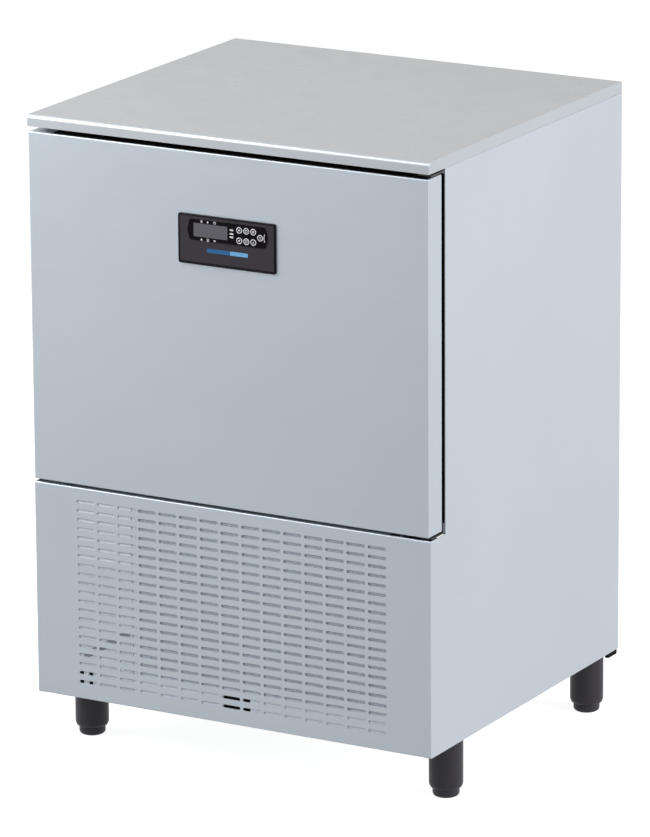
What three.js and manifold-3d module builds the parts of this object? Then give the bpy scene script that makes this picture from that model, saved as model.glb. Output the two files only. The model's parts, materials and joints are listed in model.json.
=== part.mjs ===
// Under-counter blast chiller on four adjustable feet. Millimetres, +Z up, the door faces -Y.
// Heights are measured from the floor. Depths are measured from the slotted lower panel's face,
// and the last lines move the whole object so that its footprint is centred on the origin.
import * as THREE from 'three';
import { mergeVertices } from 'three/addons/utils/BufferGeometryUtils.js';
import Module from 'manifold-3d';

const wasm = await Module();
wasm.setup();

// Driving dimensions
const bodyWidth = 800;
const bodyDepth = 720;
const legHeight = 108;
const worktopTop = 1169;
const worktopLip = 21;
const worktopNose = 6; // radius of the rounded front edge
const lowerPanelTop = 501;
const doorBottom = 507;
const doorTop = 1139;
const doorWidth = 796;
const doorFront = -3.5;
const doorBack = 44;
const sealFace = 55.5; // front face of the frame that the gasket closes on
const sheet = 1.2;
const gap = 0.3; // clearance between touching pieces
const chamber = { halfWidth: 340, bottom: 568, top: 1093, back: 640, corner: 18 };
const gasket = { halfWidth: 384, bottom: 523, top: 1122, width: 16 };
const hinge = { x: 386, y: 20, pinRadius: 4, bushRadius: 8, bushLength: 14, tongue: 3.2 };
const slots = {
  columns: 15, rows: 21, columnPitch: 42.1, rowPitch: 16.72, length: 36.5, height: 5.8, lowest: 140.5,
};
const panel = {
  x: 4.2, z: 983.8, width: 194, height: 89, front: -7.5, corner: 4, rim: 3, fieldDepth: 0.8,
};
const lens = { x: 6.3, z: 1001.9, width: 160, height: 37, bow: 5, front: -8.5, thickness: 2, seat: -3.9 };
const keys = { radius: 5.8, proud: 0.8, length: 3.8, clearance: 0.35, edge: 0.7 };
const keyPlaces = [
  [31, 1010.6], [45, 1010.6], [59, 1010.6], [31, 992.2], [45, 992.2], [59, 992.2], [72.6, 1001.6],
];
const foot = { x: 364, frontY: 122, rearY: 664, radius: 24, shoulder: 16, stem: 17, stemTop: 82 };
const sleeve = { radius: 30.5, bore: 17.5, shoulder: 19, wallTop: 90 };
const rearPad = { inset: 0.5, width: 8.5, front: 682, back: 716, bottom: 98.5, corner: 3 };

const halfWidth = bodyWidth / 2;
const lipBottom = worktopTop - worktopLip;
const frontMost = lens.front - keys.proud;

// Materials, one for each finish
const finish = (color, roughness, metalness) => ({ color, roughness, metalness });
const finishes = {
  steel: finish(0xb9c1c8, 0.38, 0.75),
  steelTop: finish(0xc4c4c5, 0.4, 0.7),
  galvanised: finish(0x9aa0a3, 0.5, 0.7),
  foam: finish(0xd9cf9f, 0.9, 0),
  black: finish(0x2b2a30, 0.5, 0),
  rubber: finish(0x18181a, 0.8, 0),
  control: finish(0x2c282d, 0.35, 0),
  lens: finish(0x0c0a10, 0.2, 0),
  key: finish(0x1b191e, 0.45, 0),
  aluminium: finish(0xb4b8ba, 0.45, 0.8),
  copper: finish(0xb0683c, 0.35, 0.9),
  compressor: finish(0x151618, 0.4, 0.2),
  paleBox: finish(0xd6dadc, 0.6, 0),
};

// Shape helpers
function solid(geometry) {
  const bare = geometry.clone();
  bare.deleteAttribute('normal');
  bare.deleteAttribute('uv');
  const merged = mergeVertices(bare, 1e-4);
  const source = merged.index.array;
  const triangles = [];
  for (let i = 0; i < source.length; i += 3) {
    const [a, b, c] = [source[i], source[i + 1], source[i + 2]];
    if (a !== b && b !== c && c !== a) triangles.push(a, b, c);
  }
  return new wasm.Manifold(new wasm.Mesh({
    numProp: 3,
    vertProperties: new Float32Array(merged.attributes.position.array),
    triVerts: new Uint32Array(triangles),
  }));
}

function join(...solids) {
  return solids.reduce((whole, piece) => whole.add(piece));
}

function cut(whole, ...tools) {
  return tools.reduce((left, tool) => left.subtract(tool), whole);
}

function block(x0, x1, y0, y1, z0, z1) {
  const geometry = new THREE.BoxGeometry(x1 - x0, y1 - y0, z1 - z0);
  geometry.translate((x0 + x1) / 2, (y0 + y1) / 2, (z0 + z1) / 2);
  return solid(geometry);
}

function outline(points) {
  return new THREE.Shape(points.map(([u, v]) => new THREE.Vector2(u, v)));
}

// A plan shape (x, y) raised from z0 to z1
function raise(shape, z0, z1, curveSegments = 3) {
  const geometry = new THREE.ExtrudeGeometry(shape, { depth: z1 - z0, bevelEnabled: false, curveSegments });
  geometry.translate(0, 0, z0);
  return solid(geometry);
}

// A front shape (x, z) that runs back from y0 to y1
function runBack(shape, y0, y1, curveSegments = 3) {
  const geometry = new THREE.ExtrudeGeometry(shape, { depth: y1 - y0, bevelEnabled: false, curveSegments });
  geometry.rotateX(Math.PI / 2);
  geometry.translate(0, y1, 0);
  return solid(geometry);
}

// A side shape (y, z) that runs across from x0 to x1
function runAcross(shape, x0, x1, curveSegments = 3) {
  const geometry = new THREE.ExtrudeGeometry(shape, { depth: x1 - x0, bevelEnabled: false, curveSegments });
  const turn = new THREE.Matrix4().makeBasis(
    new THREE.Vector3(0, 1, 0), new THREE.Vector3(0, 0, 1), new THREE.Vector3(1, 0, 0));
  geometry.applyMatrix4(turn);
  geometry.translate(x0, 0, 0);
  return solid(geometry);
}

function roundedRect(u0, u1, v0, v1, radius) {
  const shape = new THREE.Shape();
  shape.moveTo(u0 + radius, v0);
  shape.lineTo(u1 - radius, v0);
  shape.absarc(u1 - radius, v0 + radius, radius, -Math.PI / 2, 0);
  shape.lineTo(u1, v1 - radius);
  shape.absarc(u1 - radius, v1 - radius, radius, 0, Math.PI / 2);
  shape.lineTo(u0 + radius, v1);
  shape.absarc(u0 + radius, v1 - radius, radius, Math.PI / 2, Math.PI);
  shape.lineTo(u0, v0 + radius);
  shape.absarc(u0 + radius, v0 + radius, radius, Math.PI, Math.PI * 1.5);
  return shape;
}

function circle(u, v, radius) {
  const shape = new THREE.Shape();
  shape.absarc(u, v, radius, 0, Math.PI * 2);
  return shape;
}

function rod(from, to, radius, sides = 16) {
  const start = new THREE.Vector3(...from);
  const along = new THREE.Vector3(...to).sub(start);
  const geometry = new THREE.CylinderGeometry(radius, radius, along.length(), sides);
  geometry.translate(0, along.length() / 2, 0);
  const turn = new THREE.Quaternion().setFromUnitVectors(new THREE.Vector3(0, 1, 0), along.normalize());
  geometry.applyQuaternion(turn);
  geometry.translate(start.x, start.y, start.z);
  return solid(geometry);
}

// A turned piece: [radius, height] pairs from the bottom up, on a vertical axis
function turned(profile, x, y, sides = 24) {
  const points = profile.map(([radius, height]) => new THREE.Vector2(radius, height));
  const geometry = new THREE.LatheGeometry(points, sides);
  geometry.rotateX(Math.PI / 2);
  geometry.translate(x, y, 0);
  return solid(geometry);
}

// A round tube along straight runs with rounded corners
function pipe(points, radius, bend = 24, sides = 6) {
  const stepLength = 28;
  const corners = points.map((point) => new THREE.Vector3(...point));
  const path = new THREE.CurvePath();
  let last = corners[0];
  for (let i = 1; i < corners.length - 1; i += 1) {
    const before = corners[i].clone().sub(corners[i - 1]).normalize();
    const after = corners[i + 1].clone().sub(corners[i]).normalize();
    const enter = corners[i].clone().addScaledVector(before, -bend);
    const leave = corners[i].clone().addScaledVector(after, bend);
    path.add(new THREE.LineCurve3(last, enter));
    path.add(new THREE.QuadraticBezierCurve3(enter, corners[i], leave));
    last = leave;
  }
  path.add(new THREE.LineCurve3(last, corners[corners.length - 1]));
  const section = new THREE.Shape();
  for (let i = 0; i < sides; i += 1) {
    const angle = (i / sides) * Math.PI * 2;
    const spot = [radius * Math.cos(angle), radius * Math.sin(angle)];
    if (i === 0) section.moveTo(...spot);
    else section.lineTo(...spot);
  }
  const steps = Math.round(path.getLength() / stepLength);
  return solid(new THREE.ExtrudeGeometry(section, { steps, extrudePath: path, bevelEnabled: false }));
}

// Flat blades set at a pitch round a hub, on an axis along y
function fanWheel({ x, z, y0, y1, radius, hub, blades, pitch }) {
  const middle = (y0 + y1) / 2;
  const thickness = 1.6;
  let wheel = rod([x, y0, z], [x, y1, z], hub, 20);
  const blade = new THREE.Shape();
  blade.moveTo(hub * 0.7, -hub * 0.45);
  blade.quadraticCurveTo(radius * 0.7, -radius * 0.42, radius * 0.96, -radius * 0.24);
  blade.quadraticCurveTo(radius * 1.02, 0, radius * 0.93, radius * 0.22);
  blade.quadraticCurveTo(radius * 0.55, radius * 0.26, hub * 0.7, hub * 0.45);
  for (let i = 0; i < blades; i += 1) {
    const geometry = new THREE.ExtrudeGeometry(
      blade, { depth: thickness, bevelEnabled: false, curveSegments: 4 });
    geometry.translate(0, 0, -thickness / 2);
    geometry.rotateX(Math.PI / 2 + pitch);
    geometry.rotateY((i / blades) * Math.PI * 2);
    geometry.translate(x, middle, z);
    wheel = wheel.add(solid(geometry));
  }
  return wheel;
}

// A round motor with arms that reach forward to the plate that carries it
function fanMotor({ x, z, y0, y1, radius, armReach, armFront, arms }) {
  const halfArm = 4;
  const armBack = (y0 + y1) / 2;
  const bar = 3;
  const arm = join(
    block(radius * 0.6, armReach, armBack - bar, armBack, -halfArm, halfArm),
    block(armReach - bar, armReach, armFront, armBack, -halfArm, halfArm));
  let motor = rod([x, y0, z], [x, y1, z], radius, 18);
  for (let i = 0; i < arms; i += 1) {
    motor = motor.add(arm.rotate([0, 45 + (i / arms) * 360, 0]).translate([x, 0, z]));
  }
  return motor;
}

// A finned block: thin upright fins joined by a core, seen in plan as a comb on both sides
function finBlock({ x0, x1, y0, y1, z0, z1, fins, tooth }) {
  const pitch = (x1 - x0) / fins;
  const finShare = 0.45; // of the pitch, the rest is air
  const front = [];
  const back = [];
  for (let i = 0; i < fins; i += 1) {
    const start = x0 + i * pitch;
    const end = start + pitch * finShare;
    const next = start + pitch;
    front.push([start, y0], [end, y0]);
    if (i < fins - 1) front.push([end, y0 + tooth], [next, y0 + tooth]);
    back.unshift([end, y1], [start, y1]);
    if (i < fins - 1) back.unshift([next, y1 - tooth], [end, y1 - tooth]);
  }
  return raise(outline([...front, ...back]), z0, z1);
}

const group = new THREE.Group();

function addPart(name, made, look) {
  const mesh = made.getMesh();
  const geometry = new THREE.BufferGeometry();
  geometry.setAttribute('position', new THREE.BufferAttribute(new Float32Array(mesh.vertProperties), 3));
  geometry.setIndex(new THREE.BufferAttribute(new Uint32Array(mesh.triVerts), 1));
  geometry.computeVertexNormals();
  const part = new THREE.Mesh(geometry, new THREE.MeshStandardMaterial(finishes[look]));
  part.name = name;
  group.add(part);
}

// Cabinet shell

// Side view of the worktop, drawn in by inset all round; its front edge is rounded
function worktopSection(inset, bottom) {
  const front = doorFront + inset;
  const top = worktopTop - inset;
  const radius = worktopNose - inset;
  const shape = new THREE.Shape();
  shape.moveTo(front, bottom);
  shape.lineTo(bodyDepth - inset, bottom);
  shape.lineTo(bodyDepth - inset, top);
  shape.lineTo(front + radius, top);
  shape.absarc(front + radius, top - radius, radius, Math.PI / 2, Math.PI);
  return shape;
}

function makeWorktop() {
  const inner = halfWidth - sheet;
  const weld = 0.5; // how far the underside strip reaches into the lip
  const cap = cut(
    runAcross(worktopSection(0, lipBottom), -halfWidth, halfWidth, 8),
    runAcross(worktopSection(sheet, lipBottom - 1), -inner, inner, 8));
  const underside = block(-inner - weld, inner + weld, doorFront + weld, sealFace - 2 * gap,
    lipBottom, lipBottom + sheet);
  addPart('worktop', join(cap, underside), 'steelTop');
}

const flange = 14; // width of the side panels' front folds

function makeSidePanel(side) {
  const name = side < 0 ? 'side_panel_left' : 'side_panel_right';
  const back = bodyDepth - sheet - gap;
  const plan = (front) => outline([
    [halfWidth - flange, front], [halfWidth, front], [halfWidth, back],
    [halfWidth - sheet, back], [halfWidth - sheet, front + sheet], [halfWidth - flange, front + sheet],
  ]);
  const lower = raise(plan(sheet + gap), legHeight, lowerPanelTop);
  const upper = raise(plan(sealFace), lowerPanelTop, lipBottom - gap);
  const right = join(lower, upper);
  addPart(name, side < 0 ? right.mirror([1, 0, 0]) : right, 'steel');
}

// The slots of a vented sheet, as one set of blocks to cut away between depths y0 and y1
function slotBlocks({ columns, rows, columnPitch, rowPitch, length, height, lowest }, y0, y1, middle = 0) {
  const blocks = [];
  for (let column = 0; column < columns; column += 1) {
    for (let row = 0; row < rows; row += 1) {
      const u = middle + (column - (columns - 1) / 2) * columnPitch;
      const v = lowest + row * rowPitch;
      blocks.push(block(u - length / 2, u + length / 2, y0, y1, v - height / 2, v + height / 2));
    }
  }
  return wasm.Manifold.union(blocks);
}

const topFoldDepth = 50;
const bottomFoldDepth = 14;

function makeGrillePanel() {
  const face = block(-halfWidth, halfWidth, 0, sheet, legHeight, lowerPanelTop);
  const notch = halfWidth - flange - gap; // the folds stop short of the side panels' folds
  const inner = halfWidth - sheet - gap;
  const topFold = block(-inner, inner, sheet / 2, topFoldDepth, lowerPanelTop - sheet, lowerPanelTop);
  const bottomFold = block(-notch + sheet, notch - sheet, sheet / 2, bottomFoldDepth,
    legHeight, legHeight + sheet);
  const corner = (side) => block(
    side < 0 ? -halfWidth : notch, side < 0 ? -notch : halfWidth,
    sheet, 2 * (sheet + gap), lowerPanelTop - 2 * sheet, lowerPanelTop + 1);
  const tray = join(face, topFold, bottomFold);
  addPart('grille_panel', cut(tray, corner(-1), corner(1), slotBlocks(slots, -1, 2 * sheet)), 'steel');
}

const backVents = {
  columns: 4, rows: 7, columnPitch: 120, rowPitch: 36, length: 100, height: 9, lowest: 198,
};

function makeBackPanel() {
  const face = block(-halfWidth, halfWidth, bodyDepth - sheet, bodyDepth, legHeight, lipBottom - gap);
  const vents = slotBlocks(backVents, bodyDepth - 2 * sheet, bodyDepth + 1);
  addPart('back_panel', cut(face, vents), 'steel');
}

function chamberShape(grow) {
  const { halfWidth: half, bottom, top, corner } = chamber;
  return roundedRect(-half - grow, half + grow, bottom - grow, top + grow, corner + grow);
}

const frameBack = sealFace + 1.5;
const pipeHoles = [{ x: 250, y: 610, radius: 6 }, { x: 220, y: 610, radius: 4 }];
const holeClearance = 3;
const pipeSleeves = () => pipeHoles.map(({ x, y, radius }) => (
  rod([x, y, lowerPanelTop - 5], [x, y, chamber.bottom + 5], radius + holeClearance, 12)));

function makeFrontFrame() {
  const half = halfWidth - flange - gap;
  const face = outline([[-half, lowerPanelTop + gap], [half, lowerPanelTop + gap],
    [half, lipBottom - gap], [-half, lipBottom - gap]]);
  const mouth = runBack(chamberShape(0), sealFace - 1, frameBack + 1);
  const ring = cut(runBack(face, sealFace, frameBack), mouth);
  addPart('front_frame', ring, 'steel');
}

function makeInnerLiner() {
  const front = frameBack + gap;
  const tub = cut(
    runBack(chamberShape(sheet), front, chamber.back + sheet),
    runBack(chamberShape(0), front - 1, chamber.back),
    ...pipeSleeves());
  addPart('inner_liner', tub, 'steel');
}

function makeInsulation() {
  const inner = halfWidth - sheet - gap;
  const front = frameBack + gap;
  const back = bodyDepth - sheet - gap;
  const mass = block(-inner, inner, front, back, lowerPanelTop + gap, lipBottom + 5);
  const roof = runAcross(worktopSection(sheet + gap, lipBottom + sheet + gap), -inner, inner, 8);
  const hollow = runBack(chamberShape(sheet + gap), front - 1, chamber.back + sheet + gap);
  addPart('insulation_body', cut(join(mass, roof), hollow, ...pipeSleeves()), 'foam');
}

const tray = { plate: 1.5, front: bottomFoldDepth + 1, frontRim: 12, sideRim: 33 };
const trayFloor = legHeight + tray.plate;
const gland = { x: -250, y: 655, thread: 10, nut: 15, nutDepth: 16, head: 7.5 };

function makeBaseTray() {
  const inner = halfWidth - sheet - gap;
  const back = bodyDepth - sheet - gap;
  const pan = cut(
    block(-inner, inner, tray.front, back, legHeight, legHeight + tray.sideRim),
    block(-inner + tray.plate, inner - tray.plate, tray.front + tray.plate, back - tray.plate,
      trayFloor, legHeight + tray.sideRim + 1),
    block(-inner - 1, inner + 1, tray.front - 1, tray.front + tray.plate + 1,
      legHeight + tray.frontRim, legHeight + tray.sideRim + 1),
    rod([gland.x, gland.y, legHeight - 1], [gland.x, gland.y, trayFloor + 1], gland.thread + gap, 16));
  addPart('base_tray', pan, 'galvanised');
}

// Feet

function makeFeet() {
  const places = [
    ['front_left', -foot.x, foot.frontY], ['front_right', foot.x, foot.frontY],
    ['rear_left', -foot.x, foot.rearY], ['rear_right', foot.x, foot.rearY],
  ];
  const sleeveBottom = foot.shoulder + gap;
  const sleeveTop = legHeight - gap;
  places.forEach(([place, x, y]) => {
    addPart(`leg_sleeve_${place}`, turned([
      [sleeve.bore, sleeveBottom], [foot.radius + 2, sleeveBottom], [sleeve.radius - 1.5, sleeve.shoulder],
      [sleeve.radius, sleeve.shoulder + 6], [sleeve.radius, sleeveTop], [0, sleeveTop],
      [0, sleeve.wallTop], [sleeve.bore, sleeve.wallTop], [sleeve.bore, sleeveBottom],
    ], x, y, 18), 'black');
    addPart(`foot_${place}`, turned([
      [0, 0], [foot.radius - 3, 0], [foot.radius, 3], [foot.radius, foot.shoulder],
      [foot.stem, foot.shoulder], [foot.stem, foot.stemTop], [0, foot.stemTop],
    ], x, y, 18), 'black');
  });
}

function makeRearPads() {
  const far = halfWidth - rearPad.inset;
  const near = far - rearPad.width;
  const plan = roundedRect(near, far, rearPad.front, rearPad.back, rearPad.corner);
  const pad = raise(plan, rearPad.bottom, legHeight - gap, 2);
  addPart('rear_pad_right', pad, 'rubber');
  addPart('rear_pad_left', pad.mirror([1, 0, 0]), 'rubber');
}

// Door

const grip = { bottom: 723, top: 923, front: 6, back: 36, depth: 30, wall: 2 };
const cutout = { halfWidth: 74, bottom: 954, top: 1021 };
const housingBack = 24;
const doorHalf = doorWidth / 2;

function pinHole(z, radius) {
  return rod([hinge.x, hinge.y, z - 4], [hinge.x, hinge.y, z + 4], radius, 16);
}

function makeDoorSkin() {
  const shell = cut(
    block(-doorHalf, doorHalf, doorFront, doorBack, doorBottom, doorTop),
    block(-doorHalf + sheet, doorHalf - sheet, doorFront + sheet, doorBack + 1,
      doorBottom + sheet, doorTop - sheet),
    block(-doorHalf - 1, -doorHalf + sheet + 1, grip.front, grip.back, grip.bottom, grip.top),
    block(panel.x - cutout.halfWidth, panel.x + cutout.halfWidth, doorFront - 1, doorFront + sheet + 1,
      cutout.bottom, cutout.top),
    pinHole(doorBottom, hinge.pinRadius + 0.6),
    pinHole(doorTop, hinge.pinRadius + 0.6));
  addPart('door_skin', shell, 'steel');
}

function makeDoorGrip() {
  const { bottom, top, front, back, depth, wall } = grip;
  const mouth = -doorHalf + sheet + gap;
  const tub = cut(
    block(mouth, mouth + depth + wall, front - wall, back + wall, bottom - wall, top + wall),
    block(mouth - 1, mouth + depth, front, back, bottom, top));
  addPart('door_grip', tub, 'black');
}

function makeDoorFoam() {
  const inner = doorHalf - sheet - gap;
  const skinned = sheet + gap;
  const { bottom, top, front, back, depth, wall } = grip;
  const bushClear = hinge.bushRadius + gap;
  const bushEnd = hinge.bushLength + gap;
  const filled = cut(
    block(-inner, inner, doorFront + skinned, doorBack - skinned - gap,
      doorBottom + skinned, doorTop - skinned),
    block(-inner - 1, -inner + depth + wall + gap, front - wall - gap, back + wall + gap,
      bottom - wall - gap, top + wall + gap),
    block(panel.x - cutout.halfWidth, panel.x + cutout.halfWidth, doorFront, housingBack + gap,
      cutout.bottom, cutout.top),
    rod([hinge.x, hinge.y, doorBottom], [hinge.x, hinge.y, doorBottom + skinned + bushEnd], bushClear, 16),
    rod([hinge.x, hinge.y, doorTop], [hinge.x, hinge.y, doorTop - skinned - bushEnd], bushClear, 16));
  addPart('door_foam', filled, 'foam');
}

function makeDoorInnerPanel() {
  const inner = doorHalf - sheet - gap;
  const back = doorBack - gap;
  const face = roundedRect(-inner, inner, doorBottom + sheet + gap, doorTop - sheet - gap, 3);
  addPart('door_inner_panel', runBack(face, back - sheet, back, 3), 'steel');
}

function ringShape(halfX, bottom, top, radius, width) {
  const shape = roundedRect(-halfX, halfX, bottom, top, radius);
  shape.holes.push(roundedRect(-halfX + width, halfX - width, bottom + width, top - width, 4));
  return shape;
}

function makeDoorGasket() {
  const { halfWidth: half, bottom, top, width } = gasket;
  const rootInset = 4;
  const neck = doorBack + 5;
  const root = ringShape(half - rootInset, bottom + rootInset, top - rootInset, 8, width - 2 * rootInset);
  const head = ringShape(half, bottom, top, 10, width);
  const ring = join(runBack(root, doorBack + gap, neck + 0.5, 2), runBack(head, neck, sealFace - gap, 2));
  addPart('door_gasket', ring, 'rubber');
}

// A bracket on the frame's face, a tongue over or under the door, and a pin up into its bush
function makeHinges() {
  const leg = { left: 350, front: 48.5, height: 19.4, topHeight: 5 };
  const tongueLeft = 372;
  const pinReach = 16.2;
  const ends = [
    ['bottom', lowerPanelTop + 2 * gap, 1, doorBottom, leg.height],
    ['top', lipBottom - 3.6, -1, doorTop, leg.topHeight],
  ];
  ends.forEach(([place, seat, up, doorEnd, height]) => {
    const span = (from, to) => (up > 0 ? [seat + from, seat + to] : [seat - to, seat - from]);
    const pinEnd = seat + up * (hinge.tongue + pinReach);
    const bracket = join(
      block(tongueLeft, doorHalf, hinge.y - 12, leg.front + 1, ...span(0, hinge.tongue)),
      block(leg.left, doorHalf, leg.front, sealFace - gap, ...span(0, height)),
      rod([hinge.x, hinge.y, seat + up * 1], [hinge.x, hinge.y, pinEnd], hinge.pinRadius, 16));
    addPart(`hinge_${place}`, bracket, 'galvanised');
    const start = doorEnd + up * (sheet + gap);
    const stop = start + up * hinge.bushLength;
    const bush = cut(
      rod([hinge.x, hinge.y, start], [hinge.x, hinge.y, stop], hinge.bushRadius, 16),
      rod([hinge.x, hinge.y, start - up], [hinge.x, hinge.y, stop + up], hinge.pinRadius + gap, 16));
    addPart(`hinge_bush_${place}`, bush, 'black');
  });
}

// Control panel

// The dark window: straight top and bottom, ends that bow outwards
function lensShape(grow) {
  const half = lens.width / 2 - lens.bow + grow;
  const low = lens.z - lens.height / 2 - grow;
  const high = lens.z + lens.height / 2 + grow;
  const shape = new THREE.Shape();
  shape.moveTo(lens.x - half, low);
  shape.lineTo(lens.x + half, low);
  shape.quadraticCurveTo(lens.x + half + 2 * lens.bow, lens.z, lens.x + half, high);
  shape.lineTo(lens.x - half, high);
  shape.quadraticCurveTo(lens.x - half - 2 * lens.bow, lens.z, lens.x - half, low);
  return shape;
}

function makeControlPanel() {
  const { x, z, width, height, front, corner, rim } = panel;
  const [left, right] = [x - width / 2, x + width / 2];
  const [low, high] = [z - height / 2, z + height / 2];
  const wall = 3;
  const hollowFront = 2;
  const plate = runBack(roundedRect(left, right, low, high, corner), front, doorFront - gap, 3);
  const housing = block(x - cutout.halfWidth + gap, x + cutout.halfWidth - gap, doorFront - 1, housingBack,
    cutout.bottom + gap, cutout.top - gap);
  const bezel = cut(
    join(plate, housing),
    runBack(roundedRect(left + rim, right - rim, low + rim, high - rim, 2),
      front - 1, front + panel.fieldDepth, 3),
    runBack(lensShape(gap), front - 1, lens.seat, 7),
    block(x - cutout.halfWidth + wall, x + cutout.halfWidth - wall, hollowFront, housingBack + 1,
      cutout.bottom + wall, cutout.top - wall));
  addPart('control_bezel', bezel, 'control');

  const window = lensShape(0);
  keyPlaces.forEach(([u, v]) => window.holes.push(circle(u, v, keys.radius + keys.clearance)));
  addPart('control_lens', runBack(window, lens.front, lens.front + lens.thickness, 7), 'lens');

  const profile = [
    [0, 0], [keys.radius, 0], [keys.radius, keys.length - keys.edge],
    [keys.radius - keys.edge, keys.length], [0, keys.length],
  ];
  const points = profile.map(([radius, height0]) => new THREE.Vector2(radius, height0));
  keyPlaces.forEach(([u, v], index) => {
    const geometry = new THREE.LatheGeometry(points, 14);
    geometry.rotateX(Math.PI);
    geometry.translate(u, frontMost + keys.length, v);
    addPart(`key_${index + 1}`, solid(geometry), 'key');
  });
}

// Chill chamber

const baffle = { front: 482, fanX: 0, fanZ: 830, fanHole: 118, fold: 25, margin: 18 };
const rack = {
  postX: 308, postWidth: 12, postY: [112, 428], bottom: 588, top: 1070, studRadius: 5, studZ: [648, 1008],
  levels: 7, firstLevel: 623, levelPitch: 66, shelf: 22, lip: 12, plate: 2, front: 72, back: 470,
};

function makeRacks() {
  const { postX, postWidth, levels, firstLevel, levelPitch, shelf, lip, plate } = rack;
  const weld = 0.5;
  const pieces = [];
  rack.postY.forEach((y) => {
    const [postFront, postBack] = [y - postWidth / 2, y + postWidth / 2];
    pieces.push(block(postX, postX + postWidth, postFront, postBack, rack.bottom, rack.top));
    rack.studZ.forEach((z) => {
      pieces.push(rod([postX + postWidth - 1, y, z], [chamber.halfWidth - gap, y, z], rack.studRadius, 8));
    });
  });
  for (let level = 0; level < levels; level += 1) {
    const z = firstLevel + level * levelPitch;
    const section = outline([
      [postX - shelf, z - plate], [postX + weld, z - plate], [postX + weld, z + lip],
      [postX + weld - plate, z + lip], [postX + weld - plate, z], [postX - shelf, z],
    ]);
    pieces.push(runBack(section, rack.front, rack.back));
  }
  const right = join(...pieces);
  addPart('rack_right', right, 'steel');
  addPart('rack_left', right.mirror([1, 0, 0]), 'steel');
}

const inlets = { columns: 2, rows: 6, columnPitch: 530, rowPitch: 72, length: 80, height: 24, lowest: 648 };

function makeEvaporatorCover() {
  const { front, fanX, fanZ, fanHole, fold, margin } = baffle;
  const half = chamber.halfWidth - 1;
  const [low, high] = [chamber.bottom + margin, chamber.top - margin];
  const wire = { half: 1.6, rings: [44, 80], depth: 2.4 };
  let cover = cut(
    join(block(-half, half, front, front + sheet, low, high),
      block(-half, half, front, front + fold, high - sheet, high),
      block(-half, half, front, front + fold, low, low + sheet)),
    slotBlocks(inlets, front - 1, front + 2 * sheet),
    rod([fanX, front - 1, fanZ], [fanX, front + 2 * sheet, fanZ], fanHole, 24));
  wire.rings.forEach((radius) => {
    const ring = circle(fanX, fanZ, radius + wire.half);
    ring.holes.push(circle(fanX, fanZ, radius - wire.half));
    cover = cover.add(runBack(ring, front, front + wire.depth, 6));
  });
  const reach = fanHole + 2;
  const spoke = block(-reach, reach, front + 0.1, front + wire.depth - 0.1, -wire.half, wire.half);
  [0, 90].forEach((angle) => {
    cover = cover.add(spoke.rotate([0, angle, 0]).translate([fanX, 0, fanZ]));
  });
  addPart('evaporator_cover', cover, 'steel');
}

const evaporator = { halfWidth: 300, front: 556, back: 632, bottom: 600, top: 1064, tooth: 26, fins: 24 };

function makeEvaporator() {
  const { front, fanX, fanZ, fanHole } = baffle;
  addPart('evaporator_coil', finBlock({
    x0: -evaporator.halfWidth, x1: evaporator.halfWidth, y0: evaporator.front, y1: evaporator.back,
    z0: evaporator.bottom, z1: evaporator.top, fins: evaporator.fins, tooth: evaporator.tooth,
  }), 'aluminium');
  const [wheelFront, wheelBack, motorBack] = [front + 10, front + 32, front + 68];
  addPart('evaporator_fan', fanWheel({
    x: fanX, z: fanZ, y0: wheelFront, y1: wheelBack, radius: fanHole - 8, hub: 26, blades: 5, pitch: 0.42,
  }), 'black');
  addPart('evaporator_fan_motor', fanMotor({
    x: fanX, z: fanZ, y0: wheelBack + 1, y1: motorBack, radius: 40, armReach: fanHole + 14,
    armFront: front + sheet + gap, arms: 4,
  }), 'compressor');
}

// Machine compartment

const condenser = {
  left: -198, right: 322, front: 4, back: 74, bottom: 154, top: 492, tooth: 18, fins: 24,
};
const condenserFrame = {
  lip: 7, side: 4, footLeft: 36, footFront: 24, footPlate: 2, skirtDrop: 32, skirtGap: [-12, 34],
};
const shroud = { front: 77, depth: 26, hole: 150 };
const compressorPlace = { x: 120, y: 440, radius: 92, plate: 126 };
const electricalBox = {
  left: -368, right: -204, front: 2.5, back: 96, bottom: 361, top: 494, wall: 2, cover: 35, plate: 1.5,
};

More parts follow.
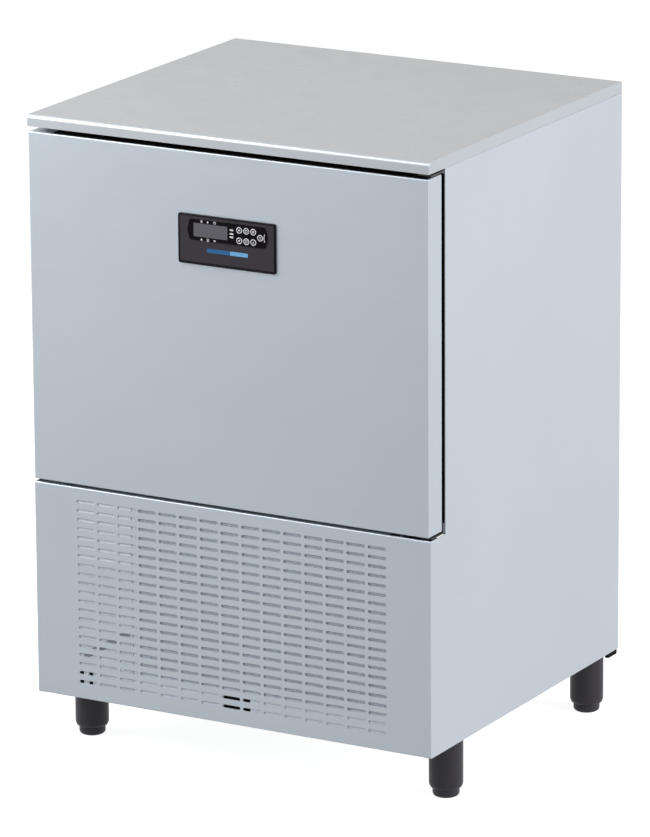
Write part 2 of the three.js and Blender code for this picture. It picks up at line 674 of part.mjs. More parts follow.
function makeCondenser() {
  const { left, right, front, back, bottom, top, fins, tooth } = condenser;
  const { lip, side, footLeft, footFront, footPlate, skirtDrop, skirtGap } = condenserFrame;
  const core = finBlock({
    x0: left, x1: right - side, y0: front, y1: back,
    z0: bottom + lip - 1, z1: top - lip + 1, fins, tooth,
  });
  const plate = (x0, x1, z0, z1) => block(x0, x1, front - 1, back + 1, z0, z1);
  const [outerLeft, outerRight] = [left - side + 1, right - side];
  const skirt = (x0, x1) => block(x0, x1, front, front + footPlate, bottom - skirtDrop, bottom + 1);
  const frame = join(
    skirt(outerLeft, skirtGap[0]), skirt(skirtGap[1], outerRight),
    plate(outerLeft, outerLeft + side, bottom, top), plate(outerRight - side, outerRight, bottom, top),
    plate(outerLeft, outerRight, bottom, bottom + lip), plate(outerLeft, outerRight, top - lip, top),
    block(footLeft, outerRight, footFront, footFront + footPlate, trayFloor + gap, bottom + 1));
  addPart('condenser_coil', join(core, frame), 'aluminium');

  const [fanX, fanZ] = [(left + right) / 2, (bottom + top) / 2];
  const hoodBack = shroud.front + shroud.depth;
  const hood = cut(
    block(outerLeft, outerRight, shroud.front, hoodBack, bottom, top),
    block(outerLeft + sheet, outerRight - sheet, shroud.front - 1, hoodBack - sheet,
      bottom + sheet, top - sheet),
    rod([fanX, shroud.front, fanZ], [fanX, hoodBack + 1, fanZ], shroud.hole, 24));
  addPart('condenser_shroud', hood, 'galvanised');

  const [wheelFront, wheelBack, motorBack] = [hoodBack + 4, hoodBack + 30, hoodBack + 92];
  addPart('condenser_fan', fanWheel({
    x: fanX, z: fanZ, y0: wheelFront, y1: wheelBack, radius: shroud.hole - 8,
    hub: 30, blades: 5, pitch: 0.45,
  }), 'black');
  addPart('condenser_fan_motor', fanMotor({
    x: fanX, z: fanZ, y0: wheelBack + 1, y1: motorBack, radius: 42, armReach: shroud.hole + 14,
    armFront: hoodBack + gap, arms: 4,
  }), 'compressor');
}

function makeCompressor() {
  const { x, y, radius, plate } = compressorPlace;
  const seam = 3; // how far the welded rim stands out
  const pot = turned([
    [0, plate], [radius - 30, plate], [radius - 4, plate + 26], [radius, plate + 50],
    [radius, plate + 88], [radius + seam, plate + 92], [radius + seam, plate + 98], [radius, plate + 102],
    [radius, plate + 140], [radius - 10, plate + 176], [radius - 40, plate + 198], [0, plate + 204],
  ], x, y, 20);
  const [footX, footY, margin] = [96, 70, 18];
  const [halfPlateX, halfPlateY] = [footX + margin, footY + margin];
  const footPlan = roundedRect(x - halfPlateX, x + halfPlateX, y - halfPlateY, y + halfPlateY, 14);
  addPart('compressor', join(pot, raise(footPlan, plate, plate + 3, 4)), 'compressor');
  const seat = trayFloor + gap;
  [[-1, -1], [1, -1], [-1, 1], [1, 1]].forEach(([sideX, sideY], index) => {
    addPart(`compressor_grommet_${index + 1}`, turned([
      [0, seat], [13, seat], [13, seat + 5], [9, seat + 8], [13, seat + 11],
      [13, plate - gap], [0, plate - gap],
    ], x + sideX * footX, y + sideY * footY, 12), 'rubber');
  });
  const coverShape = roundedRect(y - 34, y + 34, plate + 70, plate + 150, 8);
  addPart('compressor_terminal_cover', cut(
    runAcross(coverShape, x + radius - 8, x + radius + 34, 3),
    rod([x, y, plate], [x, y, plate + 200], radius + seam + 2, 20)), 'black');
}

function makeElectrics() {
  const { left, right, front, back, bottom, top, wall, cover, plate } = electricalBox;
  const mount = block(left, right, front, front + plate, legHeight + sheet + gap, top);
  addPart('electrical_box', cut(
    join(block(left, right, front, back, bottom, top), mount),
    block(left + wall, right - wall, front + cover, back + 1, bottom + wall, top - wall)), 'paleBox');
  const { x, y, thread, nut, nutDepth, head } = gland;
  const nutBottom = legHeight - nutDepth;
  addPart('cable_gland', turned([
    [0, nutBottom - 10], [thread - 2, nutBottom - 10], [thread + 1, nutBottom - 6],
    [thread + 1, nutBottom], [nut, nutBottom], [nut, legHeight - gap], [thread, legHeight - gap],
    [thread, trayFloor + gap],
    [nut, trayFloor + gap], [nut, trayFloor + head], [0, trayFloor + head],
  ], x, y, 6), 'black');
}

const drier = { x: -250, y: 300, bottom: 158, top: 292, radius: 24, neck: 7 };
const condensateTray = { left: -120, right: 60, front: 590, back: 700, top: 142, wall: 2 };

function makeRefrigerantLine() {
  const { x, y, radius, plate } = compressorPlace;
  const { bottom, top, neck } = drier;
  addPart('filter_drier', turned([
    [0, bottom], [neck, bottom], [neck, bottom + 8], [drier.radius, bottom + 22], [drier.radius, top - 22],
    [neck, top - 8], [neck, top], [0, top],
  ], drier.x, drier.y, 14), 'copper');
  const coilBottom = evaporator.bottom - gap;
  const [suction, liquid] = pipeHoles;
  const inlet = { x: condenser.right - condenserFrame.side + gap, y: 50, z: 448 };
  const turnBack = y - radius - 70;
  const beside = condenser.right + 14;
  addPart('discharge_pipe', pipe([
    [x, y - radius - 4, plate + 120], [x, turnBack, plate + 120], [beside, turnBack, plate + 120],
    [beside, turnBack, inlet.z], [beside, inlet.y, inlet.z], [inlet.x, inlet.y, inlet.z],
  ], 4, 9), 'copper');
  const suctionHeight = plate + 60;
  const behind = y + radius + 50;
  addPart('suction_pipe', pipe([
    [x - 40, y + radius + 2, suctionHeight], [x - 40, behind, suctionHeight],
    [suction.x, behind, suctionHeight], [suction.x, suction.y, suctionHeight],
    [suction.x, suction.y, coilBottom],
  ], suction.radius, 20), 'copper');
  const liquidHeight = 338;
  addPart('liquid_pipe', pipe([
    [drier.x, drier.y, top + gap], [drier.x, drier.y, liquidHeight], [drier.x, liquid.y, liquidHeight],
    [liquid.x, liquid.y, liquidHeight], [liquid.x, liquid.y, coilBottom],
  ], liquid.radius, 20), 'copper');
}

function makeCondensateTray() {
  const { left, right, front, back, top, wall } = condensateTray;
  const floor = trayFloor + gap;
  addPart('condensate_tray', cut(
    block(left, right, front, back, floor, top),
    block(left + wall, right - wall, front + wall, back - wall, floor + wall, top + 1)), 'galvanised');
}

makeWorktop();
makeSidePanel(-1);
makeSidePanel(1);
makeGrillePanel();
makeBackPanel();
makeFrontFrame();
makeInnerLiner();
makeInsulation();
makeBaseTray();
makeFeet();
makeRearPads();
makeDoorSkin();
makeDoorGrip();
makeDoorFoam();
makeDoorInnerPanel();
makeDoorGasket();
makeHinges();
makeControlPanel();
makeRacks();
makeEvaporatorCover();
makeEvaporator();
makeCondenser();
makeCompressor();
makeElectrics();
makeRefrigerantLine();
makeCondensateTray();

group.position.y = -(frontMost + bodyDepth) / 2;

export default group;
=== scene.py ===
import json
from math import cos, pi, radians, sin

import bmesh
import bpy
from mathutils import Matrix, Vector


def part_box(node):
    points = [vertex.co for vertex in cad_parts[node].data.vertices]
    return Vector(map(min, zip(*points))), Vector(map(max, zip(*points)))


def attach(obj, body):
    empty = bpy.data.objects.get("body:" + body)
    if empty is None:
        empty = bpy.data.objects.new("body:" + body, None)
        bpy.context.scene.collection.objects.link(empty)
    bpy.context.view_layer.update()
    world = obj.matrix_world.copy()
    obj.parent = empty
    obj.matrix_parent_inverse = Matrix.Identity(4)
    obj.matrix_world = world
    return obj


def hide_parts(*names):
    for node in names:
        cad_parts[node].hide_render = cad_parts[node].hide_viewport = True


# Blast chiller. Metres, +Z up, the door faces -Y and hinges at +X.

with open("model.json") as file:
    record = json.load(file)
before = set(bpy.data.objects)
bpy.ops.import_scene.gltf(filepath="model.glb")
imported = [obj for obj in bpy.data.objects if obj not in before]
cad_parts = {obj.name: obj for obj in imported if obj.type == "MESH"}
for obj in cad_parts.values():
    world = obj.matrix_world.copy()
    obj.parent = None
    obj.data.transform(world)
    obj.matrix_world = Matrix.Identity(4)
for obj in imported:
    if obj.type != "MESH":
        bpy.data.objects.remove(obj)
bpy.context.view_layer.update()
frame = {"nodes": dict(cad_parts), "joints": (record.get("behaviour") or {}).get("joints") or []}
nodes = frame["nodes"]
print("frame loaded,", len(nodes), "nodes")


# camera

cameraView = {
    "place": (5.206, -9.21335, 3.524),
    "yaw": 29.505,
    "down": 15.54,
    "roll": -0.359,
    "lens": 263.65,
}


def placeCamera():
    data = bpy.data.cameras.new("camera")
    data.lens = cameraView["lens"]
    data.clip_end = 200
    camera = bpy.data.objects.new("camera", data)
    turn = Matrix.Rotation(radians(cameraView["yaw"]), 4, "Z")
    tilt = Matrix.Rotation(radians(90 - cameraView["down"]), 4, "X")
    roll = Matrix.Rotation(radians(cameraView["roll"]), 4, "Z")
    camera.matrix_world = Matrix.Translation(cameraView["place"]) @ turn @ tilt @ roll
    bpy.context.scene.collection.objects.link(camera)
    bpy.context.scene.camera = camera


placeCamera()
bpy.context.scene.view_settings.view_transform = "Standard"
print("camera placed")


# mesh helpers

def addBlock(bm, low, high):
    low, high = Vector(low), Vector(high)
    size = high - low
    place = Matrix.Translation((low + high) / 2) @ Matrix.Diagonal((size.x, size.y, size.z, 1))
    return bmesh.ops.create_cube(bm, size=1, matrix=place)["verts"]


def edgesOf(verts):
    return list({edge for vert in verts for edge in vert.link_edges})


def edgesWhere(bm, test):
    return [edge for edge in bm.edges if all(test(vert.co) for vert in edge.verts)]


def facesWhere(bm, test):
    return [face for face in bm.faces if all(test(vert.co) for vert in face.verts)]


def near(a, b):
    return abs(a - b) < 1e-5


def removeFaces(bm, faces):
    bmesh.ops.delete(bm, geom=faces, context="FACES")


def between(value, low, high):
    return low - 1e-5 < value < high + 1e-5


# Takes a window out of a flat face: cuts along its edges, then removes what lies inside.
# The window is a list of (axis, low, high).
def cutWindow(bm, onFace, window):
    for axis, *ends in window:
        for end in ends:
            point, normal = Vector((0, 0, 0)), Vector((0, 0, 0))
            point[axis], normal[axis] = end, 1
            faces = facesWhere(bm, onFace)
            parts = set(faces)
            for face in faces:
                parts.update(face.edges)
                parts.update(face.verts)
            bmesh.ops.bisect_plane(bm, geom=list(parts), plane_co=point, plane_no=normal, dist=1e-6)
    removeFaces(bm, facesWhere(bm, lambda co: onFace(co) and all(
        between(co[axis], low, high) for axis, low, high in window)))


def roundEdges(bm, edges, radius, segments=3):
    bmesh.ops.bevel(bm, geom=edges, offset=radius, offset_type="OFFSET", segments=segments,
                    profile=0.5, affect="EDGES", material=-1)


def addRoundBlock(bm, low, high, radius=0.0008, segments=2):
    roundEdges(bm, edgesOf(addBlock(bm, low, high)), radius, segments)


# A block that is open on one side, with all its other edges rounded
def addTub(bm, low, high, axis, opening, radius, segments):
    addBlock(bm, low, high)
    removeFaces(bm, facesWhere(bm, lambda co: near(co[axis], opening)))
    edges = [edge for edge in bm.edges
             if not all(near(vert.co[axis], opening) for vert in edge.verts)]
    roundEdges(bm, edges, radius, segments)


def onlyVerts(items):
    return [item for item in items if isinstance(item, bmesh.types.BMVert)]


# Copies everything in the mesh along a line, (count - 1) times
def repeat(bm, count, step):
    first = bm.verts[:] + bm.edges[:] + bm.faces[:]
    for place in range(1, count):
        made = bmesh.ops.duplicate(bm, geom=first)["geom"]
        bmesh.ops.translate(bm, verts=onlyVerts(made), vec=Vector(step) * place)


# One flat face through the points, its corners rounded
def addFace(bm, points, radius=0, segments=5):
    verts = [bm.verts.new(point) for point in points]
    edges = [bm.edges.new(pair) for pair in zip(verts, verts[1:] + verts[:1])]
    face = bmesh.ops.contextual_create(bm, geom=edges)["faces"][0]
    if radius:
        made = bmesh.ops.bevel(bm, geom=verts, offset=radius, offset_type="OFFSET",
                               segments=segments, profile=0.5, affect="VERTICES", material=-1)
        face = made["verts"][0].link_faces[0]
    return face


# The closed loop of edges of such a face
def addLoop(bm, points, radius=0, segments=5):
    face = addFace(bm, points, radius, segments)
    edges = face.edges[:]
    bmesh.ops.delete(bm, geom=[face], context="FACES_ONLY")
    return edges


def rectPoints(x0, x1, z0, z1, y):
    return [(x0, y, z0), (x1, y, z0), (x1, y, z1), (x0, y, z1)]


def flatPoints(x0, x1, y0, y1, z):
    return [(x0, y0, z), (x1, y0, z), (x1, y1, z), (x0, y1, z)]


# A rectangle's loop, drawn in by the inset on all four sides
def addInsetLoop(bm, low, high, inset, y, radius, segments=5):
    points = rectPoints(low.x + inset, high.x - inset, low.z + inset, high.z - inset, y)
    return addLoop(bm, points, radius, segments)


# The matrix that moves a thing made along +Z to a centre and turns it along the axis
def standAlong(centre, axis):
    turn = Vector((0, 0, 1)).rotation_difference(Vector(axis)).to_matrix().to_4x4()
    return Matrix.Translation(centre) @ turn


# Open edges from point to point
def addPath(bm, points):
    verts = [bm.verts.new(point) for point in points]
    return verts, [bm.edges.new(pair) for pair in zip(verts, verts[1:])]


def addCircle(bm, centre, radius, axis, steps):
    made = bmesh.ops.create_circle(bm, segments=steps, radius=radius, cap_ends=False,
                                   matrix=standAlong(centre, axis))
    return edgesOf(made["verts"])


def bridge(bm, loops):
    for one, other in zip(loops, loops[1:]):
        bmesh.ops.bridge_loops(bm, edges=one + other)


def fillFlat(bm, edges):
    made = bmesh.ops.triangle_fill(bm, use_beauty=True, use_dissolve=False, edges=edges)["geom"]
    return [item for item in made if isinstance(item, bmesh.types.BMFace)]


def extrudeEdges(bm, edges, move):
    made = bmesh.ops.extrude_edge_only(bm, edges=edges)["geom"]
    verts = {item for item in made if isinstance(item, bmesh.types.BMVert)}
    bmesh.ops.translate(bm, verts=list(verts), vec=move)
    return [item for item in made
            if isinstance(item, bmesh.types.BMEdge) and set(item.verts) <= verts]


def extrudeFaces(bm, faces, move):
    made = bmesh.ops.extrude_face_region(bm, geom=faces)["geom"]
    bmesh.ops.translate(bm, verts=onlyVerts(made), vec=move)


# Bends the free edges of a sheet a quarter turn round a centre, and gives back the new edges
def bendEdges(bm, edges, centre, axis):
    made = bmesh.ops.spin(bm, geom=edges, cent=centre, axis=axis, angle=pi / 2, steps=4)
    return [item for item in made["geom_last"] if isinstance(item, bmesh.types.BMEdge)]


# A turned shape from (radius, height) pairs along the axis
def addTurned(bm, profile, centre, axis=(0, 0, 1), steps=32):
    axis = Vector(axis).normalized()
    side = axis.orthogonal().normalized()
    centre = Vector(centre)
    verts, edges = addPath(bm, [centre + side * radius + axis * height for radius, height in profile])
    bmesh.ops.spin(bm, geom=verts + edges, cent=centre, axis=axis, angle=2 * pi, steps=steps,
                   use_merge=True)
    bmesh.ops.remove_doubles(bm, verts=bm.verts[:], dist=1e-6)


# A pan-head screw with a dished middle
def addScrew(bm, place, axis, radius, rise=0.5):
    profile = [(0, 0.5), (0.3, 0.5), (0.42, 1), (0.75, 0.84), (0.95, 0.36), (1, 0), (1, -0.3)]
    addTurned(bm, [(r * radius, h * radius * rise) for r, h in profile], place, axis, steps=16)


# Joins and cleans a mesh; most of an open sheet's area is made to face one way
def finishMesh(bm, facing):
    bmesh.ops.remove_doubles(bm, verts=bm.verts[:], dist=1e-6)
    loose = [vert for vert in bm.verts if not vert.link_faces]
    bmesh.ops.delete(bm, geom=loose, context="VERTS")
    bmesh.ops.recalc_face_normals(bm, faces=bm.faces[:])
    if facing:
        side = sum(face.calc_area() * face.normal.dot(Vector(facing)) for face in bm.faces)
        if side < 0:
            bmesh.ops.reverse_faces(bm, faces=bm.faces[:])


# Gives a folded sheet its thickness, inwards from the modelled face
def thicken(piece, sheet):
    solidify = piece.modifiers.new("sheet", "SOLIDIFY")
    solidify.thickness = sheet
    solidify.offset = -1
    solidify.use_even_offset = True
    graph = bpy.context.evaluated_depsgraph_get()
    solid = bpy.data.meshes.new_from_object(piece.evaluated_get(graph))
    piece.modifiers.clear()
    piece.data = solid


def addModifiers(piece, rim):
    if rim:
        bevel = piece.modifiers.new("rim", "BEVEL")
        bevel.width = rim
        bevel.segments = 2
        bevel.limit_method = "ANGLE"
        bevel.angle_limit = radians(50)
    piece.modifiers.new("normals", "WEIGHTED_NORMAL").keep_sharp = True


# Makes the object, puts it on its body and hides the CAD nodes it stands for
def makePiece(name, bm, look, body="cabinet", replaces=(), facing=None, sheet=0, rim=0, smooth=35):
    finishMesh(bm, facing)
    mesh = bpy.data.meshes.new(name)
    bm.to_mesh(mesh)
    bm.free()
    slot, material = looks[look]
    mesh.materials.append(material)
    piece = bpy.data.objects.new(name, mesh)
    bpy.context.scene.collection.objects.link(piece)
    if sheet:
        thicken(piece, sheet)
    piece.data.shade_smooth()
    piece.data.set_sharp_from_angle(angle=radians(smooth))
    addModifiers(piece, rim)
    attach(piece, body)
    if replaces:
        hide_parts(*replaces)


# node helpers

def fromHex(code):
    channels = [int(code[i:i + 2], 16) / 255 for i in (0, 2, 4)]
    linear = [c / 12.92 if c <= 0.04045 else ((c + 0.055) / 1.055) ** 2.4 for c in channels]
    return (*linear, 1)


# Sets a node's inputs: a socket is linked, anything else is a plain value
def setSockets(tree, node, sockets):
    for name, value in sockets.items():
        if isinstance(value, bpy.types.NodeSocket):
            tree.links.new(value, node.inputs[name])
        else:
            node.inputs[name].default_value = value


def addNode(tree, kind, sockets=None, **settings):
    node = tree.nodes.new(kind)
    for name, value in settings.items():
        setattr(node, name, value)
    setSockets(tree, node, sockets or {})
    return node


def mathNode(tree, operation, *values):
    sockets = dict(enumerate(values))
    return addNode(tree, "ShaderNodeMath", sockets, operation=operation).outputs[0]


def spread(tree, value, low, high, toLow, toHigh):
    sockets = {"Value": value, "From Min": low, "From Max": high, "To Min": toLow, "To Max": toHigh}
    return addNode(tree, "ShaderNodeMapRange", sockets).outputs["Result"]


def mixColor(tree, factor, first, second):
    return addNode(tree, "ShaderNodeMix", {0: factor, 6: first, 7: second},
                   data_type="RGBA").outputs[2]


def noise(tree, vector, scale, detail=2, roughness=0.5, distortion=0):
    return addNode(tree, "ShaderNodeTexNoise", {
        "Vector": vector, "Scale": scale, "Detail": detail, "Roughness": roughness,
        "Distortion": distortion}).outputs["Fac"]


def objectPlace(tree, scale=None):
    place = addNode(tree, "ShaderNodeTexCoord").outputs["Object"]
    if scale is None:
        return place
    return addNode(tree, "ShaderNodeMapping", {"Vector": place, "Scale": scale}).outputs[0]


def bumpNode(tree, strength, height, distance=0.0002):
    return addNode(tree, "ShaderNodeBump", {
        "Strength": strength, "Distance": distance, "Height": height}).outputs[0]


def toned(tree, color, tone):
    return addNode(tree, "ShaderNodeHueSaturation", {"Color": color, "Value": tone}).outputs[0]


# Joins a colour, a roughness and a normal to a group's output or to a shader
def joinSurface(tree, target, color, roughness, normal=None, colorName="Color"):
    tree.links.new(color, target[colorName])
    tree.links.new(roughness, target["Roughness"])
    if normal:
        tree.links.new(normal, target["Normal"])


def newGroup(name, inputs, outputs):
    group = bpy.data.node_groups.new(name, "ShaderNodeTree")
    for label, kind, value in inputs:
        socket = group.interface.new_socket(name=label, in_out="INPUT", socket_type=kind)
        socket.default_value = value
    for label, kind in outputs:
        group.interface.new_socket(name=label, in_out="OUTPUT", socket_type=kind)
    return group, group.nodes.new("NodeGroupInput").outputs, group.nodes.new("NodeGroupOutput").inputs


surfaceOutputs = [("Color", "NodeSocketColor"), ("Roughness", "NodeSocketFloat"),
                  ("Normal", "NodeSocketVector")]


# Fine parallel scratches, soft clouds and faint wipe marks of satin sheet
def makeBrushedGroup():
    group, given, result = newGroup("brushed sheet", [
        ("Color", "NodeSocketColor", (0.5, 0.5, 0.5, 1)),
        ("Roughness", "NodeSocketFloat", 0.35),
        ("Grain", "NodeSocketVector", (6, 1400, 1400)),
        ("Grain depth", "NodeSocketFloat", 0.12),
        ("Clouds", "NodeSocketFloat", 0.02),
    ], surfaceOutputs)
    place = objectPlace(group)
    stretched = addNode(group, "ShaderNodeVectorMath", {0: place, 1: given["Grain"]},
                        operation="MULTIPLY").outputs[0]
    grain = noise(group, stretched, 1, detail=3, roughness=0.7)
    clouds = noise(group, place, 2.4, detail=3, distortion=0.5)
    wipes = noise(group, objectPlace(group, (5, 5, 11)), 3.2, detail=5, roughness=0.6, distortion=1.2)
    grainTone = spread(group, grain, 0.2, 0.8, 0.965, 1.035)
    cloudSwing = mathNode(group, "MULTIPLY", spread(group, clouds, 0.3, 0.7, -1, 1), given["Clouds"])
    tone = mathNode(group, "MULTIPLY_ADD", grainTone, cloudSwing, grainTone)
    rough = mathNode(group, "MULTIPLY_ADD", spread(group, wipes, 0.35, 0.7, -1, 1), 0.035,
                     given["Roughness"])
    rough = mathNode(group, "MULTIPLY_ADD", spread(group, grain, 0.2, 0.8, -1, 1), 0.06, rough)
    joinSurface(group, result, toned(group, given["Color"], tone), rough,
                bumpNode(group, given["Grain depth"], grain))
    return group


# Zinc spangles with slightly different tones
def makeSpangleGroup():
    group, given, result = newGroup("zinc spangle", [
        ("Color", "NodeSocketColor", (0.4, 0.4, 0.4, 1)),
        ("Roughness", "NodeSocketFloat", 0.45),
    ], surfaceOutputs)
    place = objectPlace(group)
    cells = addNode(group, "ShaderNodeTexVoronoi", {"Vector": place, "Scale": 95.0})
    tint = addNode(group, "ShaderNodeSeparateColor", {0: cells.outputs["Color"]}).outputs[0]
    stain = noise(group, place, 9, detail=4)
    tone = mathNode(group, "ADD", spread(group, tint, 0, 1, -0.09, 0.09),
                    spread(group, stain, 0.3, 0.7, 0.95, 1.05))
    rough = mathNode(group, "MULTIPLY_ADD", spread(group, tint, 0, 1, -1, 1), 0.07,
                     given["Roughness"])
    joinSurface(group, result, toned(group, given["Color"], tone), rough,
                bumpNode(group, 0.1, tint))
    return group


# The fine spark-eroded skin of moulded plastic and rubber, with paler rubbed patches
def makeMouldedGroup():
    group, given, result = newGroup("moulded skin", [
        ("Color", "NodeSocketColor", (0.02, 0.02, 0.02, 1)),
        ("Rubbed color", "NodeSocketColor", (0.06, 0.06, 0.06, 1)),
        ("Roughness", "NodeSocketFloat", 0.5),
        ("Skin scale", "NodeSocketFloat", 1500),
        ("Skin depth", "NodeSocketFloat", 0.15),
    ], surfaceOutputs)
    place = objectPlace(group)
    skin = noise(group, place, given["Skin scale"], detail=2)
    rubs = noise(group, objectPlace(group, (1, 1, 0.4)), 55, detail=5, roughness=0.65)
    mask = spread(group, rubs, 0.55, 0.75, 0, 0.55)
    color = mixColor(group, mask, given["Color"], given["Rubbed color"])
    rough = mathNode(group, "MULTIPLY_ADD", spread(group, rubs, 0.3, 0.7, -1, 1), 0.06,
                     given["Roughness"])
    joinSurface(group, result, color, rough, bumpNode(group, given["Skin depth"], skin))
    return group


# Dust that settles on faces that look up
def makeDustGroup():
    group, given, result = newGroup("settled dust", [
        ("Color", "NodeSocketColor", (0.1, 0.1, 0.1, 1)),
        ("Dust color", "NodeSocketColor", (0.35, 0.33, 0.3, 1)),
        ("Amount", "NodeSocketFloat", 0.3),
    ], [("Color", "NodeSocketColor")])
    up = addNode(group, "ShaderNodeSeparateXYZ", {0: addNode(
        group, "ShaderNodeNewGeometry").outputs["Normal"]}).outputs["Z"]
    patches = noise(group, objectPlace(group), 30, detail=5, roughness=0.6)
    mask = mathNode(group, "MULTIPLY", spread(group, up, 0.2, 1, 0, 1),
                    spread(group, patches, 0.3, 0.7, 0.3, 1))
    mask = mathNode(group, "MULTIPLY", mask, given["Amount"])
    group.links.new(mixColor(group, mask, given["Color"], given["Dust color"]), result["Color"])
    return group


brushedGroup = makeBrushedGroup()
spangleGroup = makeSpangleGroup()
mouldedGroup = makeMouldedGroup()
dustGroup = makeDustGroup()


def newLook(name, **sockets):
    material = bpy.data.materials.new(name)
    material.use_nodes = True
    tree = material.node_tree
    shader = tree.nodes["Principled BSDF"]
    setSockets(tree, shader, {label.replace("_", " "): value for label, value in sockets.items()})
    return material, tree, shader


def placeGroup(tree, group, values):
    node = tree.nodes.new("ShaderNodeGroup")
    node.node_tree = group
    setSockets(tree, node, values)
    return node.outputs


def addSurface(tree, shader, group, values, dust=0):
    made = placeGroup(tree, group, values)
    color = made["Color"]
    if dust:
        color = placeGroup(tree, dustGroup, {"Color": color, "Amount": dust})["Color"]
    joinSurface(tree, shader.inputs, color, made["Roughness"], made["Normal"], "Base Color")


# Grain runs along the axis with the small number
alongX = (7, 1500, 1500)
alongY = (1500, 7, 1500)
alongZ = (1500, 1500, 7)


def steelLook(name, color, roughness=0.36, grain=alongX, depth=0.12, clouds=0.02, metallic=0.45):
    material, tree, shader = newLook(name, Metallic=metallic)
    addSurface(tree, shader, brushedGroup, {
        "Color": fromHex(color), "Roughness": roughness, "Grain": grain,
        "Grain depth": depth, "Clouds": clouds})
    return material


def zincLook(name, color, dust=0.0, metallic=0.75):
    material, tree, shader = newLook(name, Metallic=metallic)
    addSurface(tree, shader, spangleGroup, {"Color": fromHex(color), "Roughness": 0.48}, dust)
    return material


def mouldedLook(name, color, rubbed, roughness, skin=1500, depth=0.15, dust=0.0, **sockets):
    material, tree, shader = newLook(name, **sockets)
    addSurface(tree, shader, mouldedGroup, {
        "Color": fromHex(color), "Rubbed color": fromHex(rubbed), "Roughness": roughness,
        "Skin scale": skin, "Skin depth": depth}, dust)
    return material


# A painted or printed surface: faint mottling and a little orange peel
def paintLook(name, color, roughness=0.4, mottle=0.04, peel=260, **sockets):
    material, tree, shader = newLook(name, **sockets)
    place = objectPlace(tree)
    patches = noise(tree, place, 22, detail=3)
    tone = spread(tree, patches, 0.3, 0.7, 1 - mottle, 1 + mottle)
    rough = spread(tree, patches, 0.3, 0.7, roughness - 0.04, roughness + 0.04)
    joinSurface(tree, shader.inputs, toned(tree, fromHex(color), tone), rough,
                bumpNode(tree, 0.05, noise(tree, place, peel), 0.0003), "Base Color")
    return material


# Drawn copper with darker heat tints
def copperLook():
    material, tree, shader = newLook("copper tube", Metallic=0.95)
    place = objectPlace(tree)
    heat = noise(tree, place, 14, detail=4, roughness=0.6)
    color = mixColor(tree, spread(tree, heat, 0.45, 0.75, 0, 1), fromHex("C07A4C"),
                     fromHex("7E4A33"))
    joinSurface(tree, shader.inputs, color, spread(tree, heat, 0.3, 0.7, 0.26, 0.42),
                colorName="Base Color")
    return material


# Small cells: the closed cells of foam, the dots of a display
def cellLook(name, color, scale, reach, tones, roughs, **sockets):
    material, tree, shader = newLook(name, Metallic=0.0, **sockets)
    cells = addNode(tree, "ShaderNodeTexVoronoi", {"Vector": objectPlace(tree), "Scale": scale})
    far = cells.outputs["Distance"]
    tone = spread(tree, far, 0, reach, *tones)
    joinSurface(tree, shader.inputs, toned(tree, fromHex(color), tone),
                spread(tree, far, 0, reach, *roughs), colorName="Base Color")
    return material


